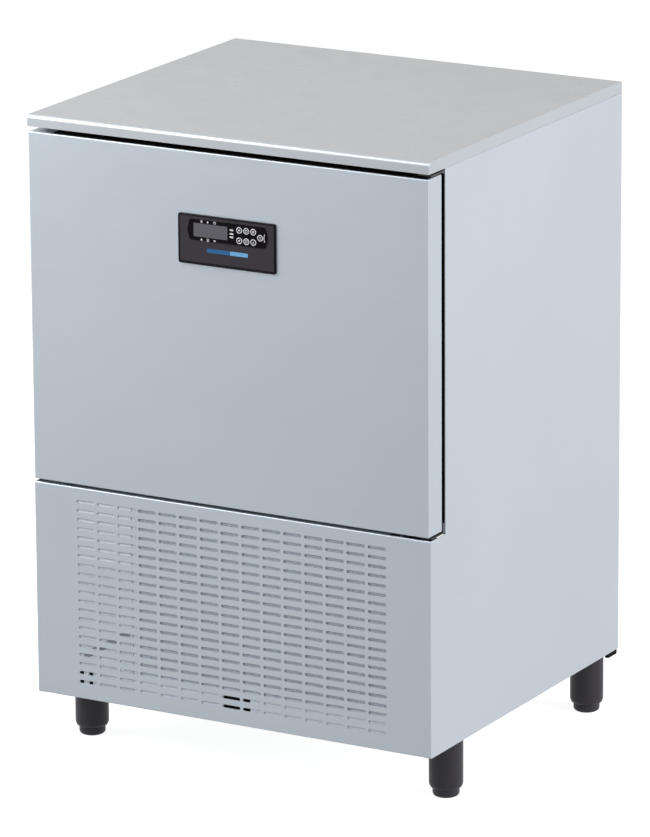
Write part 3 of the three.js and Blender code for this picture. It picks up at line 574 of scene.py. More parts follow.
# Each look: the slot it has in the record, and its material
looks = {
    # The front, side, top and folded-edge steels are one satin steel. Their base colours differ as painted
    # light and shade: the top darkest, the folded edge darker than the front, the sides a little lighter.
    "frontSteel": ("steel", steelLook("satin steel, front", "C1CAD3")),
    "sideSteel": ("steel", steelLook("satin steel, sides", "C5CCD4", grain=alongY)),
    "topSteelPaintedShade": ("steel_top", steelLook("satin steel, top, painted darker", "B2B4B7", roughness=0.33, clouds=0.01)),
    "edgeSteelPaintedShade": ("steel_top", steelLook("satin steel, folded edge, painted darker", "BDC3C8", roughness=0.37)),
    "innerSteel": ("steel", steelLook(
        "satin steel, inside", "C8CCD0", roughness=0.34, grain=alongZ, depth=0.03, metallic=0.6)),
    "wireSteel": ("steel", steelLook(
        "bright wire", "C4C8CB", roughness=0.22, depth=0.02, metallic=0.9)),
    "zinc": ("galvanised", zincLook("galvanised sheet", "A3A9AC")),
    # Zinc darkened as painted shade, for the hinges in the gaps by the door
    "hingeZincPaintedShade": ("galvanised", zincLook("zinc darkened as painted shade, hinges", "5E6068", metallic=0.4)),
    "paleZinc": ("galvanised", zincLook("galvanised plate", "C2C9D0", metallic=0.2)),
    "dustyZinc": ("galvanised", zincLook("galvanised tray", "9DA3A6", dust=0.25)),
    "foam": ("foam", cellLook("rigid foam", "DDCF9C", 700.0, 0.8, (1.05, 0.85), (0.95, 0.8))),
    "blackPlastic": ("black_plastic", mouldedLook(
        "black moulding", "2B2830", "3B3940", roughness=0.46, Specular_IOR_Level=0.35)),
    "fanPlastic": ("black_plastic", mouldedLook(
        "fan moulding", "232327", "3A3A3E", roughness=0.5, dust=0.2)),
    "rubber": ("rubber", mouldedLook(
        "rubber", "0D0D0F", "141416", roughness=0.8, skin=2400, depth=0.1, Specular_IOR_Level=0.1)),
    "controlPlastic": ("control_plastic", mouldedLook(
        "control housing", "3A353D", "413C44", roughness=0.5, skin=2600, depth=0.2,
        Specular_IOR_Level=0.2)),
    "controlRim": ("control_plastic", mouldedLook(
        "control rim", "121015", "1A181D", roughness=0.4, skin=2600, Specular_IOR_Level=0.1)),
    "controlLens": ("control_lens", paintLook(
        "control window", "100B13", roughness=0.2, mottle=0.02, Specular_IOR_Level=0.06)),
    "keyPlastic": ("key", mouldedLook(
        "key caps", "1B181E", "232026", roughness=0.42, skin=3000, Specular_IOR_Level=0.15)),
    "display": ("control_lens", cellLook(
        "display", "66646C", 1100.0, 0.6, (0.97, 1.03), (0.3, 0.36), Specular_IOR_Level=0.3)),
    "whitePrint": ("control_lens", paintLook("white print", "FDFDFF", roughness=0.45, mottle=0.02)),
    "bluePrint": ("control_plastic", paintLook("blue print", "17659F", mottle=0.02)),
    "paleBluePrint": ("control_plastic", paintLook("pale blue print", "7CC0F2", mottle=0.02)),
    "aluminium": ("aluminium", steelLook(
        "aluminium fins", "D8E1EB", roughness=0.5, grain=alongZ, depth=0.05, metallic=0.1)),
    "copper": ("copper", copperLook()),
    "blackEnamel": ("black_enamel", paintLook(
        "black enamel", "17181A", roughness=0.32, mottle=0.12, Coat_Weight=0.3, Coat_Roughness=0.2)),
    "paleCoat": ("pale_box", paintLook("pale powder coat", "E4EAF2", roughness=0.55, peel=900)),
    "braceGrey": ("galvanised", paintLook("grey primer", "8E939B", roughness=0.6, peel=900)),
}
print("materials made,", len(looks))


# worktop: a folded cap with a rounded front edge

worktop = {"sheet": 0.0012, "nose": 0.0072, "noseSteps": 10, "fold": 0.0016, "underside": 0.0575,
           "flatFront": 0.0004, "flatInset": 0.002}


def makeWorktop():
    low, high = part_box("worktop")
    bm = bmesh.new()
    addBlock(bm, low, high)
    removeFaces(bm, facesWhere(bm, lambda co: near(co.z, low.z)))
    front = edgesWhere(bm, lambda co: near(co.y, low.y) and near(co.z, high.z))
    roundEdges(bm, front, worktop["nose"], worktop["noseSteps"])
    back = edgesWhere(bm, lambda co: near(co.y, high.y) and near(co.z, high.z))
    ends = [edge for edge in bm.edges if near(abs(edge.verts[0].co.x), high.x)
            and near(edge.verts[0].co.x, edge.verts[1].co.x)
            and not all(near(vert.co.z, low.z) for vert in edge.verts)]
    roundEdges(bm, ends + back, worktop["fold"])
    lip = edgesWhere(bm, lambda co: near(co.z, low.z) and near(co.y, low.y))
    extrudeEdges(bm, lip, (0, worktop["underside"], 0))
    inset = worktop["flatInset"]
    x0, x1 = low.x + inset, high.x - inset
    y0, y1 = low.y + worktop["nose"] + worktop["flatFront"], high.y - inset
    cutWindow(bm, lambda co: near(co.z, high.z), ((0, x0, x1), (1, y0, y1)))
    # The folded edges and the flat top are one sheet of steel; their two base colours, with the flat top
    # darker, are painted shade.
    makePiece("worktop_edges", bm, "edgeSteelPaintedShade", replaces=["worktop"], facing=(0, 0, -1),
              sheet=worktop["sheet"])
    bm = bmesh.new()
    addFace(bm, flatPoints(x0, x1, y0, y1, high.z))
    makePiece("worktop_flat", bm, "topSteelPaintedShade", facing=(0, 0, 1), sheet=worktop["sheet"])


# side panels: L-shaped sheets, folded in along their front edges

side = {"sheet": 0.0012, "fold": 0.014, "bend": 0.0022}


def makeSidePanel(name, sign):
    low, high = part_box(name)
    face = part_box("front_frame")[0].y
    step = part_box("grille_panel")[1].z
    x = high.x if sign > 0 else low.x
    bend = side["bend"]
    plan = [(low.y + bend, low.z), (high.y, low.z), (high.y, high.z), (face + bend, high.z),
            (face + bend, step), (low.y + bend, step)]
    bm = bmesh.new()
    addFace(bm, [(x, y, z) for y, z in plan])
    for y, bottom, top in ((low.y, low.z, step), (face, step, high.z)):
        edges = edgesWhere(bm, lambda co: near(co.y, y + bend) and between(co.z, bottom, top))
        free = bendEdges(bm, edges, (x - sign * bend, y + bend, 0), (0, 0, -sign))
        extrudeEdges(bm, free, (-sign * (side["fold"] - bend), 0, 0))
    makePiece(name + "_sheet", bm, "sideSteel", replaces=[name], facing=(sign, 0, 0),
              sheet=side["sheet"])


# Rows and columns of round-ended slots in a sheet in the XZ plane, and the plain margins beside
# them. Gives back the heights between which the slots lie.
def addSlottedSheet(bm, plan, reach, y, turns=3):
    (stepX, stepZ), (slotX, slotZ) = plan["pitch"], plan["slot"]
    cell = addLoop(bm, rectPoints(-stepX / 2, stepX / 2, -stepZ / 2, stepZ / 2, y))
    hole = addLoop(bm, rectPoints(-slotX / 2, slotX / 2, -slotZ / 2, slotZ / 2, y),
                   slotZ / 2 * 0.98, turns)
    fillFlat(bm, cell + hole)
    width = plan["columns"] * stepX
    bottom = plan["lowest"] - stepZ / 2
    firstCell = Vector((-width / 2, 0, bottom)) + Vector((stepX / 2, 0, stepZ / 2))
    bmesh.ops.translate(bm, verts=bm.verts[:], vec=firstCell)
    for count, step in ((plan["columns"], (stepX, 0, 0)), (plan["rows"], (0, 0, stepZ))):
        repeat(bm, count, step)
        bmesh.ops.remove_doubles(bm, verts=bm.verts[:], dist=1e-5)
    for sign in (-1, 1):
        edges = edgesWhere(bm, lambda co: near(co.x, sign * width / 2))
        extrudeEdges(bm, edges, (sign * (reach - width / 2), 0, 0))
    return bottom, bottom + plan["rows"] * stepZ


# slotted lower panel, folded back at its top and at its bottom

grille = {
    "sheet": 0.0012, "columns": 15, "rows": 21, "pitch": (0.0421, 0.01672), "slot": (0.0365, 0.0058),
    "lowest": 0.1405, "bend": 0.003, "topFold": 0.048, "bottomFold": 0.012, "foldInset": 0.002,
}


def makeGrille():
    low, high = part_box("grille_panel")
    bend = grille["bend"]
    bm = bmesh.new()
    bottom, top = addSlottedSheet(bm, grille, high.x, low.y)
    for sign, start, end, fold in ((1, top, high.z, grille["topFold"]),
                                   (-1, bottom, low.z, grille["bottomFold"])):
        edges = edgesWhere(bm, lambda co: near(co.z, start))
        corner = end - sign * bend
        free = extrudeEdges(bm, edges, (0, 0, corner - start))
        free = bendEdges(bm, free, (0, low.y + bend, corner), (-sign, 0, 0))
        inner = [edge for edge in free
                 if all(abs(vert.co.x) < high.x - grille["foldInset"] for vert in edge.verts)]
        extrudeEdges(bm, inner, (0, fold, 0))
    makePiece("grille_sheet", bm, "frontSteel", replaces=["grille_panel"], facing=(0, -1, 0),
              sheet=grille["sheet"])


# back panel with its air slots

back = {
    "sheet": 0.0012, "columns": 4, "rows": 7, "pitch": (0.12, 0.036), "slot": (0.1, 0.009),
    "lowest": 0.198, "screwInset": 0.012, "screwHeights": (0.138, 0.408, 0.678, 0.948, 1.128),
    "screwXs": (-0.2, 0, 0.2), "setIn": 0.0006, "screwRadius": 0.0045,
}


def makeBackPanel():
    low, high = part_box("back_panel")
    high.y -= back["setIn"]
    bm = bmesh.new()
    for start, end in zip(addSlottedSheet(bm, back, high.x, high.y, turns=5), (low.z, high.z)):
        extrudeEdges(bm, edgesWhere(bm, lambda co: near(co.z, start)), (0, 0, end - start))
    makePiece("back_sheet", bm, "sideSteel", replaces=["back_panel"], facing=(0, 1, 0),
              sheet=back["sheet"], rim=0.0003)
    heights = back["screwHeights"]
    edge = high.x - back["screwInset"]
    places = [(x, z) for x in (-edge, edge) for z in heights]
    places += [(x, z) for x in back["screwXs"] for z in (heights[0], heights[-1])]
    bm = bmesh.new()
    for x, z in places:
        addScrew(bm, (x, high.y, z), (0, 1, 0), back["screwRadius"],
                 rise=back["setIn"] / back["screwRadius"])
    makePiece("back_screws", bm, "zinc")


makeWorktop()
makeSidePanel("side_panel_left", -1)
makeSidePanel("side_panel_right", 1)
makeGrille()
makeBackPanel()
print("cabinet sheets made")


# legs: profiles of (radius, height) pairs above the floor

leg = {"steps": 64, "sleeveRadius": 0.0305, "bore": 0.0175, "boreTop": 0.09, "footRadius": 0.024,
       "footTop": 0.0158, "stem": 0.017, "stemTop": 0.082}


def makeLegs():
    r, f, stem = leg["sleeveRadius"], leg["footRadius"], leg["stem"]
    for place in ("front_left", "front_right", "rear_left", "rear_right"):
        sleeve, foot = "leg_sleeve_" + place, "foot_" + place
        low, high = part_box(sleeve)
        middle = (low + high) / 2
        centre = (middle.x, middle.y, 0)
        top = high.z
        bm = bmesh.new()
        addTurned(bm, [
            (leg["bore"], leg["boreTop"]), (leg["bore"], 0.0168), (0.018, 0.0163), (0.0262, 0.0163),
            (0.0274, 0.017), (0.0288, 0.0188), (0.0297, 0.0212), (r - 0.0002, 0.0238), (r, 0.0262),
            (r, top - 0.0006), (r - 0.0006, top), (0, top),
        ], centre, steps=leg["steps"])
        makePiece(sleeve + "_body", bm, "blackPlastic", replaces=[sleeve], smooth=30)
        bm = bmesh.new()
        addTurned(bm, [
            (0, 0.0006), (f - 0.009, 0.0006), (f - 0.008, 0), (f - 0.0055, 0), (f - 0.003, 0.0012),
            (f - 0.0014, 0.0026), (f - 0.0003, 0.0046), (f, 0.0068), (f, 0.0144), (f - 0.0005, 0.0153),
            (f - 0.0014, leg["footTop"]), (stem, leg["footTop"]), (stem, leg["stemTop"]),
            (0, leg["stemTop"]),
        ], centre, steps=leg["steps"])
        makePiece(foot + "_screw_foot", bm, "blackPlastic", body=foot, replaces=[foot], smooth=30)


rearPad = {"corner": 0.0016}


def makeRearPads():
    for name in ("rear_pad_left", "rear_pad_right"):
        bm = bmesh.new()
        addRoundBlock(bm, *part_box(name), rearPad["corner"], 3)
        makePiece(name + "_block", bm, "rubber", replaces=[name])


makeLegs()
makeRearPads()
print("legs made")


# door

door = {"sheet": 0.0012, "edge": 0.0022}
grip = {"sheet": 0.0018, "wall": 0.002, "corner": 0.005, "lip": 0.0016, "rim": 0.0006}


def makeDoorSkin():
    low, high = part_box("door_skin")
    gripLow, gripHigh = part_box("door_grip")
    wall = grip["wall"]
    bm = bmesh.new()
    addTub(bm, low, high, 1, high.y, door["edge"], 4)
    cutWindow(bm, lambda co: near(co.x, low.x), (
        (1, gripLow.y + wall, gripHigh.y - wall), (2, gripLow.z + wall, gripHigh.z - wall)))
    makePiece("door_skin_pan", bm, "frontSteel", body="door", replaces=["door_skin"],
              facing=(0, -1, 0), sheet=door["sheet"])


def makeDoorGrip():
    low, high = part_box("door_grip")
    wall = grip["wall"]
    x = low.x - grip["lip"]
    bm = bmesh.new()
    addTub(bm, (x, low.y + wall, low.z + wall), (high.x - wall, high.y - wall, high.z - wall), 0, x,
           grip["corner"], 4)
    extrudeEdges(bm, edgesWhere(bm, lambda co: near(co.x, x)), (-grip["rim"], 0, 0))
    makePiece("door_grip_tub", bm, "blackPlastic", body="door", replaces=["door_grip"],
              facing=(-1, 0, 0), sheet=grip["sheet"])


innerPanel = {"sheet": 0.0012, "corner": 0.003, "border": 0.042, "slope": 0.006, "height": 0.004,
              "fieldCorner": 0.02}


def makeDoorInnerPanel():
    low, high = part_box("door_inner_panel")
    border, slope, height = innerPanel["border"], innerPanel["slope"], innerPanel["height"]
    field = innerPanel["fieldCorner"]
    bm = bmesh.new()
    loops = [addInsetLoop(bm, low, high, inset, high.y + out, corner) for inset, out, corner in (
        (0, 0, innerPanel["corner"]), (border, 0, field),
        (border + slope * 0.5, height * 0.5, field), (border + slope, height, field))]
    bridge(bm, loops)
    fillFlat(bm, loops[-1])
    makePiece("door_inner_sheet", bm, "innerSteel", body="door", replaces=["door_inner_panel"],
              facing=(0, 1, 0), sheet=innerPanel["sheet"])


# The magnetic gasket as (inset, depth) pairs: a dart in the door, bellows, and a soft face
gasket = {"corner": 0.009, "profile": [
    (0.004, 0.0), (0.004, 0.0028), (0.0018, 0.0036), (0.0018, 0.0046), (0.0002, 0.0052), (0, 0.0066),
    (0, 0.0092), (0.0008, 0.0104), (0.003, 0.0109), (0.008, 0.0106), (0.013, 0.0109),
    (0.0152, 0.0104), (0.016, 0.0092), (0.016, 0.0066), (0.0158, 0.0052), (0.0142, 0.0046),
    (0.0142, 0.0036), (0.012, 0.0028), (0.012, 0.0),
]}


def makeGasket():
    low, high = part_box("door_gasket")
    bm = bmesh.new()
    loops = [addInsetLoop(bm, low, high, inset, low.y + out, gasket["corner"] - inset * 0.4, 6)
             for inset, out in gasket["profile"]]
    bridge(bm, loops + [loops[0]])
    makePiece("door_gasket_bellows", bm, "rubber", body="door", replaces=["door_gasket"], smooth=50)


# Black strips in the gaps, as painted shade: one on each front fold of the cabinet, one on top of the
# door. They make the gaps black where there is only shade.
strip = {"inner": 0.3862, "outer": 0.3976, "bottom": 0.521, "top": 1.1465, "thick": 0.0008,
         "corner": 0.0003, "topFront": 0.0024, "topBack": 0.0002, "topEnds": (0.046, 0.004),
         "sunk": 0.0004}


def makeShadeStrips():
    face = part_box("front_frame")[0].y
    thick = strip["thick"]
    bm = bmesh.new()
    for sign in (-1, 1):
        x0, x1 = sorted((sign * strip["inner"], sign * strip["outer"]))
        addRoundBlock(bm, (x0, face - thick, strip["bottom"]), (x1, face, strip["top"]),
                      strip["corner"])
    makePiece("frame_shade_strips", bm, "rubber")
    low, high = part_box("door_skin")
    leftEnd, rightEnd = strip["topEnds"]
    bm = bmesh.new()
    addRoundBlock(bm, (low.x + leftEnd, low.y + strip["topFront"], high.z - strip["sunk"]),
                  (high.x - rightEnd, high.y - strip["topBack"], high.z + thick), strip["corner"])
    makePiece("door_top_shade_strip", bm, "rubber", body="door")


makeDoorSkin()
makeDoorGrip()
makeDoorInnerPanel()
makeGasket()
makeShadeStrips()
print("door made")


# control panel

control = {
    "rim": 0.003, "rimBelow": 0.0018, "corner": 0.004, "field": 0.0008,
    "lensBow": 0.005, "lensCorner": 0.0035, "keyGap": 0.0003,
    "keyWell": 0.0018, "keyRing": (0.0043, 0.0057), "print": 0.00006, "markSize": 0.0024,
}

# One mark for each key, in the order of their numbers
keyMarks = ["up", "clock", "star", "down", "bars", "drop", "power"]


def makeBezel():
    low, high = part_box("control_bezel")
    front = low.y
    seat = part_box("door_skin")[0].y - 0.0003
    rim = control["rim"]
    field = front + control["field"]
    bm = bmesh.new()
    steps = ((0, seat), (0, front + 0.0012), (0.0003, front + 0.0004), (0.0009, front + 0.00005),
             (rim - 0.0006, front), (rim - 0.0002, front + 0.0002), (rim, field))
    bridge(bm, [addInsetLoop(bm, low, high, inset, y, control["corner"] - inset * 0.7)
                for inset, y in steps])
    ledge, overlap = low.z + rim, 0.0004
    addBar(bm, low.x + rim, high.x - rim, ledge - overlap, ledge + control["rimBelow"], field, overlap)
    makePiece("control_rim", bm, "controlRim", body="door", replaces=["control_bezel"],
              facing=(0, -1, 0))
    bm = bmesh.new()
    fillFlat(bm, addInsetLoop(bm, low, high, rim, field, control["corner"] - rim * 0.7))
    makePiece("control_field", bm, "controlPlastic", body="door", facing=(0, -1, 0))


# The window: straight above and below, with ends that bow outwards
def lensPoints(low, high, inset, y):
    bow = control["lensBow"]
    middle = (low.z + high.z) / 2
    left, right = low.x + inset, high.x - inset
    bottom, top = low.z + inset, high.z - inset
    return [(left + bow, y, bottom), (right - bow, y, bottom), (right, y, middle),
            (right - bow, y, top), (left + bow, y, top), (left, y, middle)]


def makeLens():
    low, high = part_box("control_lens")
    steps = ((0, high.y), (0, low.y + 0.0005), (0.00015, low.y + 0.00015), (0.0005, low.y))
    bm = bmesh.new()
    loops = [addLoop(bm, lensPoints(low, high, inset, y), control["lensCorner"])
             for inset, y in steps]
    bridge(bm, loops)
    holes = []
    for number in range(1, len(keyMarks) + 1):
        keyLow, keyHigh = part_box("key_%d" % number)
        middle = (keyLow + keyHigh) / 2
        radius = (keyHigh.x - keyLow.x) / 2 + control["keyGap"]
        hole = addCircle(bm, (middle.x, low.y, middle.z), radius, (0, 1, 0), 40)
        holes += hole
        extrudeEdges(bm, hole, (0, control["keyWell"], 0))
    fillFlat(bm, loops[-1] + holes)
    makePiece("control_window", bm, "controlLens", body="door", replaces=["control_lens"],
              facing=(0, -1, 0))


# A flat thing in the XZ plane that stands out towards the front
def addFlat(bm, points, y, thickness, radius=0):
    edges = addLoop(bm, [(x, y, z) for x, z in points], radius, 4)
    extrudeFaces(bm, fillFlat(bm, edges), (0, -thickness, 0))


def addBar(bm, x0, x1, z0, z1, y, thickness, radius=0):
    addFlat(bm, [(x0, z0), (x1, z0), (x1, z1), (x0, z1)], y, thickness, radius)


def addRing(bm, centre, inner, outer, thickness):
    addTurned(bm, [(inner, 0), (inner, thickness), (outer, thickness), (outer, 0), (inner, 0)],
              centre, (0, -1, 0), 20)


# The corners of a bar in the XZ plane, turned round its centre
def barCorners(x, z, length, width, angle):
    along = Vector((cos(angle), sin(angle))) * length / 2
    across = Vector((-sin(angle), cos(angle))) * width / 2
    corners = [-along - across, along - across, along + across, -along + across]
    return [(x + corner.x, z + corner.y) for corner in corners]


def addTurnedBar(bm, centre, length, width, angle, thickness):
    x, y, z = centre
    addFlat(bm, barCorners(x, z, length, width, angle), y, thickness)


# Plain marks: arrows, a star of bars, a clock, a ring with a stroke
def addMark(bm, kind, x, y, z, size, thickness):
    if kind in ("up", "down"):
        turn = 1 if kind == "up" else -1
        foot = z - turn * size * 0.6
        addFlat(bm, [(x - size, foot), (x + size, foot), (x, z + turn * size)][::turn], y, thickness)
    elif kind == "star":
        for turn in range(3):
            addTurnedBar(bm, (x, y, z), size * 2.2, size * 0.4, turn * pi / 3 + pi / 6, thickness)
    elif kind == "clock":
        addRing(bm, (x, y, z), size * 0.75, size * 1.05, thickness)
        addTurnedBar(bm, (x, y, z + size * 0.25), size * 0.8, size * 0.28, pi / 2, thickness)
    elif kind == "drop":
        addFlat(bm, [(x - size * 0.7, z - size * 0.4), (x, z - size), (x + size * 0.7, z - size * 0.4),
                     (x, z + size)], y, thickness, size * 0.2)
    elif kind == "bars":
        for row in (-1, 0, 1):
            bottom, top = z + (row - 0.2) * size * 0.8, z + (row + 0.2) * size * 0.8
            addBar(bm, x - size, x + size, bottom, top, y, thickness)
    else:
        addRing(bm, (x, y, z), size * 0.7, size, thickness)
        addTurnedBar(bm, (x, y, z + size * 0.7), size * 1.1, size * 0.3, pi / 2, thickness)


def makeKeys():
    for number, mark in enumerate(keyMarks, 1):
        name = "key_%d" % number
        low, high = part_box(name)
        middle = (low + high) / 2
        radius = (high.x - low.x) / 2
        height = high.y - low.y
        bm = bmesh.new()
        addTurned(bm, [
            (0, height - 0.0004), (radius * 0.5, height - 0.00038), (radius * 0.74, height - 0.0003),
            (radius * 0.94, height - 0.0003), (radius * 0.98, height - 0.0005),
            (radius, height - 0.0008), (radius, 0), (0, 0),
        ], (middle.x, high.y, middle.z), (0, -1, 0), steps=40)
        makePiece(name + "_cap", bm, "keyPlastic", body=name, replaces=[name], smooth=50)
        bm = bmesh.new()
        face = low.y + 0.0003
        inner, outer = control["keyRing"]
        addTurned(bm, [(inner, -0.0002), (inner, 0.0001), (inner + 0.0001, 0.00015),
                       (outer - 0.0001, 0.00015), (outer, 0.0001), (outer, -0.0002),
                       (inner, -0.0002)], (middle.x, face, middle.z), (0, -1, 0), 40)
        addMark(bm, mark, middle.x, face + 0.0001, middle.z, control["markSize"], 0.00025)
        makePiece(name + "_print", bm, "whitePrint", body=name)


display = {"x": (-0.0605, 0.007), "z": (0.990, 1.014), "lift": 0.00022, "corner": 0.0008}
lampMarks = {"xs": (-0.0446, -0.032, -0.0184), "zs": (1.0176, 0.9855), "size": 0.0024}
dashes = {"x": (0.0118, 0.0190), "zs": (1.0089, 1.0024, 0.9965), "half": 0.0014, "corner": 0.0006}
sideBars = {"x": 0.0805, "zs": (1.0055, 0.9985), "turns": (-0.25, 0.25), "size": (0.0075, 0.0012)}
stripes = {"z": (0.9632, 0.9704), "corner": 0.0009, "parts": (
    ("stripe_dark", -0.035, 0.010, "bluePrint"), ("stripe_pale", 0.011, 0.0465, "paleBluePrint"))}


def makeControlPrints():
    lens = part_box("control_lens")[0].y
    bm = bmesh.new()
    addBar(bm, *display["x"], *display["z"], lens + 0.0001, display["lift"], display["corner"])
    makePiece("control_display", bm, "display", body="door")
    thickness = control["print"]
    bm = bmesh.new()
    kinds = (("star", "drop", "clock"), ("up", "bars", "down"))
    for z, row in zip(lampMarks["zs"], kinds):
        for x, kind in zip(lampMarks["xs"], row):
            addMark(bm, kind, x, lens, z, lampMarks["size"], thickness)
    for z in dashes["zs"]:
        addBar(bm, *dashes["x"], z - dashes["half"], z + dashes["half"], lens, thickness,
               dashes["corner"])
    for z, turn in zip(sideBars["zs"], sideBars["turns"]):
        addTurnedBar(bm, (sideBars["x"], lens, z), *sideBars["size"], pi / 2 + turn, thickness)
    makePiece("control_marks", bm, "whitePrint", body="door")
    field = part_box("control_bezel")[0].y + control["field"]
    for name, x0, x1, look in stripes["parts"]:
        bm = bmesh.new()
        addBar(bm, x0, x1, *stripes["z"], field, thickness, stripes["corner"])
        makePiece("control_" + name, bm, look, body="door")


makeBezel()
makeLens()
makeKeys()
makeControlPrints()
print("control panel made")


# hinges: brackets with a tongue and a pin, and plastic bushes in the door. The black enamel tongues and
# the darkened zinc of the brackets are painted shade in the gaps by the door.

hinge = {"x": 0.386, "behindBush": 0.008, "pin": 0.004, "pinEnds": (0.0005, 0.0194), "plate": 0.0032,
         "bracketLeft": 0.372, "step": 0.0067, "overlap": 0.0005,
         "legHeights": {"hinge_bottom": 0.0194, "hinge_top": 0.005},
         "screws": ((0.006, 0.016), 0.012, 0.0028), "bore": 0.0043, "bush": 0.008}


def makeHinges():
    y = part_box("hinge_bush_bottom")[0].y + hinge["behindBush"]
    pin, (pinStart, pinEnd) = hinge["pin"], hinge["pinEnds"]
    screwXs, screwHeight, screwRadius = hinge["screws"]
    bore, outer = hinge["bore"], hinge["bush"]
    for end, up in (("bottom", 1), ("top", -1)):
        name, bush = "hinge_" + end, "hinge_bush_" + end
        low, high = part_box(name)
        seat = low.z if up > 0 else high.z
        tongue = sorted((seat, seat + up * hinge["plate"]))
        upright = sorted((seat, seat + up * hinge["legHeights"][name]))
        foot = high.y - hinge["step"]
        bm = bmesh.new()
        addRoundBlock(bm, (hinge["bracketLeft"], low.y, tongue[0]),
                      (high.x, foot + hinge["overlap"], tongue[1]))
        # Black enamel tongue: painted shade in the gap above and below the door
        makePiece(name + "_tongue", bm, "blackEnamel")
        bm = bmesh.new()
        addRoundBlock(bm, (low.x, foot, upright[0]), (high.x, high.y, upright[1]))
        addTurned(bm, [(0, pinStart), (pin, pinStart), (pin, pinEnd - 0.001), (pin - 0.0008, pinEnd),
                       (0, pinEnd)], (hinge["x"], y, seat), (0, 0, up), 32)
        if up > 0:
            for x in screwXs:
                addScrew(bm, (low.x + x, foot, seat + screwHeight), (0, -1, 0), screwRadius)
        makePiece(name + "_bracket", bm, "hingeZincPaintedShade", replaces=[name])
        low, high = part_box(bush)
        length = high.z - low.z
        bm = bmesh.new()
        addTurned(bm, [(bore, 0), (outer - 0.0002, 0), (outer, 0.0004), (outer, length - 0.0004),
                       (outer - 0.0002, length), (bore, length), (bore, 0)],
                  (hinge["x"], y, low.z))
        makePiece(bush + "_sleeve", bm, "blackPlastic", body="door", replaces=[bush])


makeHinges()
print("hinges made")


# chill chamber

chamber = {"sheet": 0.0012, "corner": 0.018, "cornerSteps": 7}


def makeLiner():
    low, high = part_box("inner_liner")
    t = chamber["sheet"]
    bm = bmesh.new()
    addTub(bm, (low.x + t, low.y, low.z + t), (high.x - t, high.y - t, high.z - t), 1, low.y,
           chamber["corner"], chamber["cornerSteps"])
    makePiece("chamber_tub", bm, "innerSteel", replaces=["inner_liner"], facing=(0, -1, 0),
              sheet=-t)


rack = {"post": 0.012, "postInset": 0.0317, "postYs": (0.04, 0.356), "postCorner": 0.0012,
        "studZs": (0.648, 1.008), "levels": 7, "firstLevel": 0.623, "pitch": 0.066, "gap": 0.0002,
        "screwLift": 0.006, "screwOut": 0.0016, "screwRadius": 0.003, "plate": 0.0015,
        "hem": 0.004, "lip": 0.012, "bend": 0.002}
rackStud = [(0, -0.002), (0.005, -0.002), (0.005, 0.018), (0.009, 0.0186), (0.009, 0.0197),
            (0, 0.0197)]


def makeRack(name, sign):
    low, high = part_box(name)
    shelfEdge, wall = (low.x, high.x) if sign > 0 else (high.x, low.x)
    post, inner = rack["post"], wall - sign * rack["postInset"]
    outer = inner + sign * post
    levels = [rack["firstLevel"] + level * rack["pitch"] for level in range(rack["levels"])]
    bm = bmesh.new()
    for postY in rack["postYs"]:
        y = low.y + postY
        x0, x1 = sorted((inner, outer))
        addRoundBlock(bm, (x0, y - post / 2, low.z), (x1, y + post / 2, high.z),
                      rack["postCorner"], 3)
        for z in rack["studZs"]:
            addTurned(bm, rackStud, (outer, y, z), (sign, 0, 0), 24)
        for z in levels:
            addScrew(bm, (inner - sign * rack["screwOut"], y, z + rack["screwLift"]), (-sign, 0, 0),
                     rack["screwRadius"])
    makePiece(name + "_posts", bm, "innerSteel", replaces=[name])
    bm = bmesh.new()
    back = inner - sign * rack["gap"]
    for z in levels:
        path = ((shelfEdge, z + rack["hem"]), (shelfEdge, z), (back, z), (back, z + rack["lip"]))
        extrudeEdges(bm, addPath(bm, [(x, low.y, height) for x, height in path])[1],
                     (0, high.y - low.y, 0))
        folds = [edge for edge in edgesWhere(bm, lambda co: near(co.z, z))
                 if len(edge.link_faces) == 2]
        roundEdges(bm, folds, rack["bend"])
    makePiece(name + "_runners", bm, "innerSteel", facing=(0, 0, 1), sheet=rack["plate"],
              rim=0.0003)


cover = {
    "sheet": 0.0012, "fold": 0.024, "margin": 0.012, "screwRadius": 0.0038, "fanZ": 0.830,
    "fanHole": 0.118, "fanCollar": 0.006, "inletXs": (-0.265, 0.265), "inletZ": 0.648,
    "inletPitch": 0.072, "inletRows": 6, "inlet": (0.08, 0.024),
}
guard = {"wire": 0.0014, "rings": (0.022, 0.044, 0.066, 0.088, 0.108, 0.122), "gap": 0.006, "arms": 4,
         "armStart": 0.020, "armPast": 0.006, "footInset": 0.001, "screwOut": 0.006,
         "screwRadius": 0.0035}


# Turns a small circle round a centre: a ring of wire, or a bend of tube
def sweepCircle(bm, start, along, radius, sides, centre, axis, angle, steps):
    edges = addCircle(bm, start, radius, along, sides)
    verts = list({vert for edge in edges for vert in edge.verts})
    bmesh.ops.spin(bm, geom=verts + edges, cent=centre, axis=axis, angle=angle, steps=steps,
                   use_merge=angle > pi)


def addRod(bm, start, end, radius, steps=10):
    start, end = Vector(start), Vector(end)
    return bmesh.ops.create_cone(
        bm, cap_ends=True, cap_tris=False, segments=steps, radius1=radius, radius2=radius,
        depth=(end - start).length, matrix=standAlong((start + end) / 2, end - start))["verts"]


# The edges of a round hole in a sheet that lies in the XZ plane
def holeEdges(bm, x, z, radius):
    return edgesWhere(bm, lambda co: near((co.xz - Vector((x, z))).length, radius))


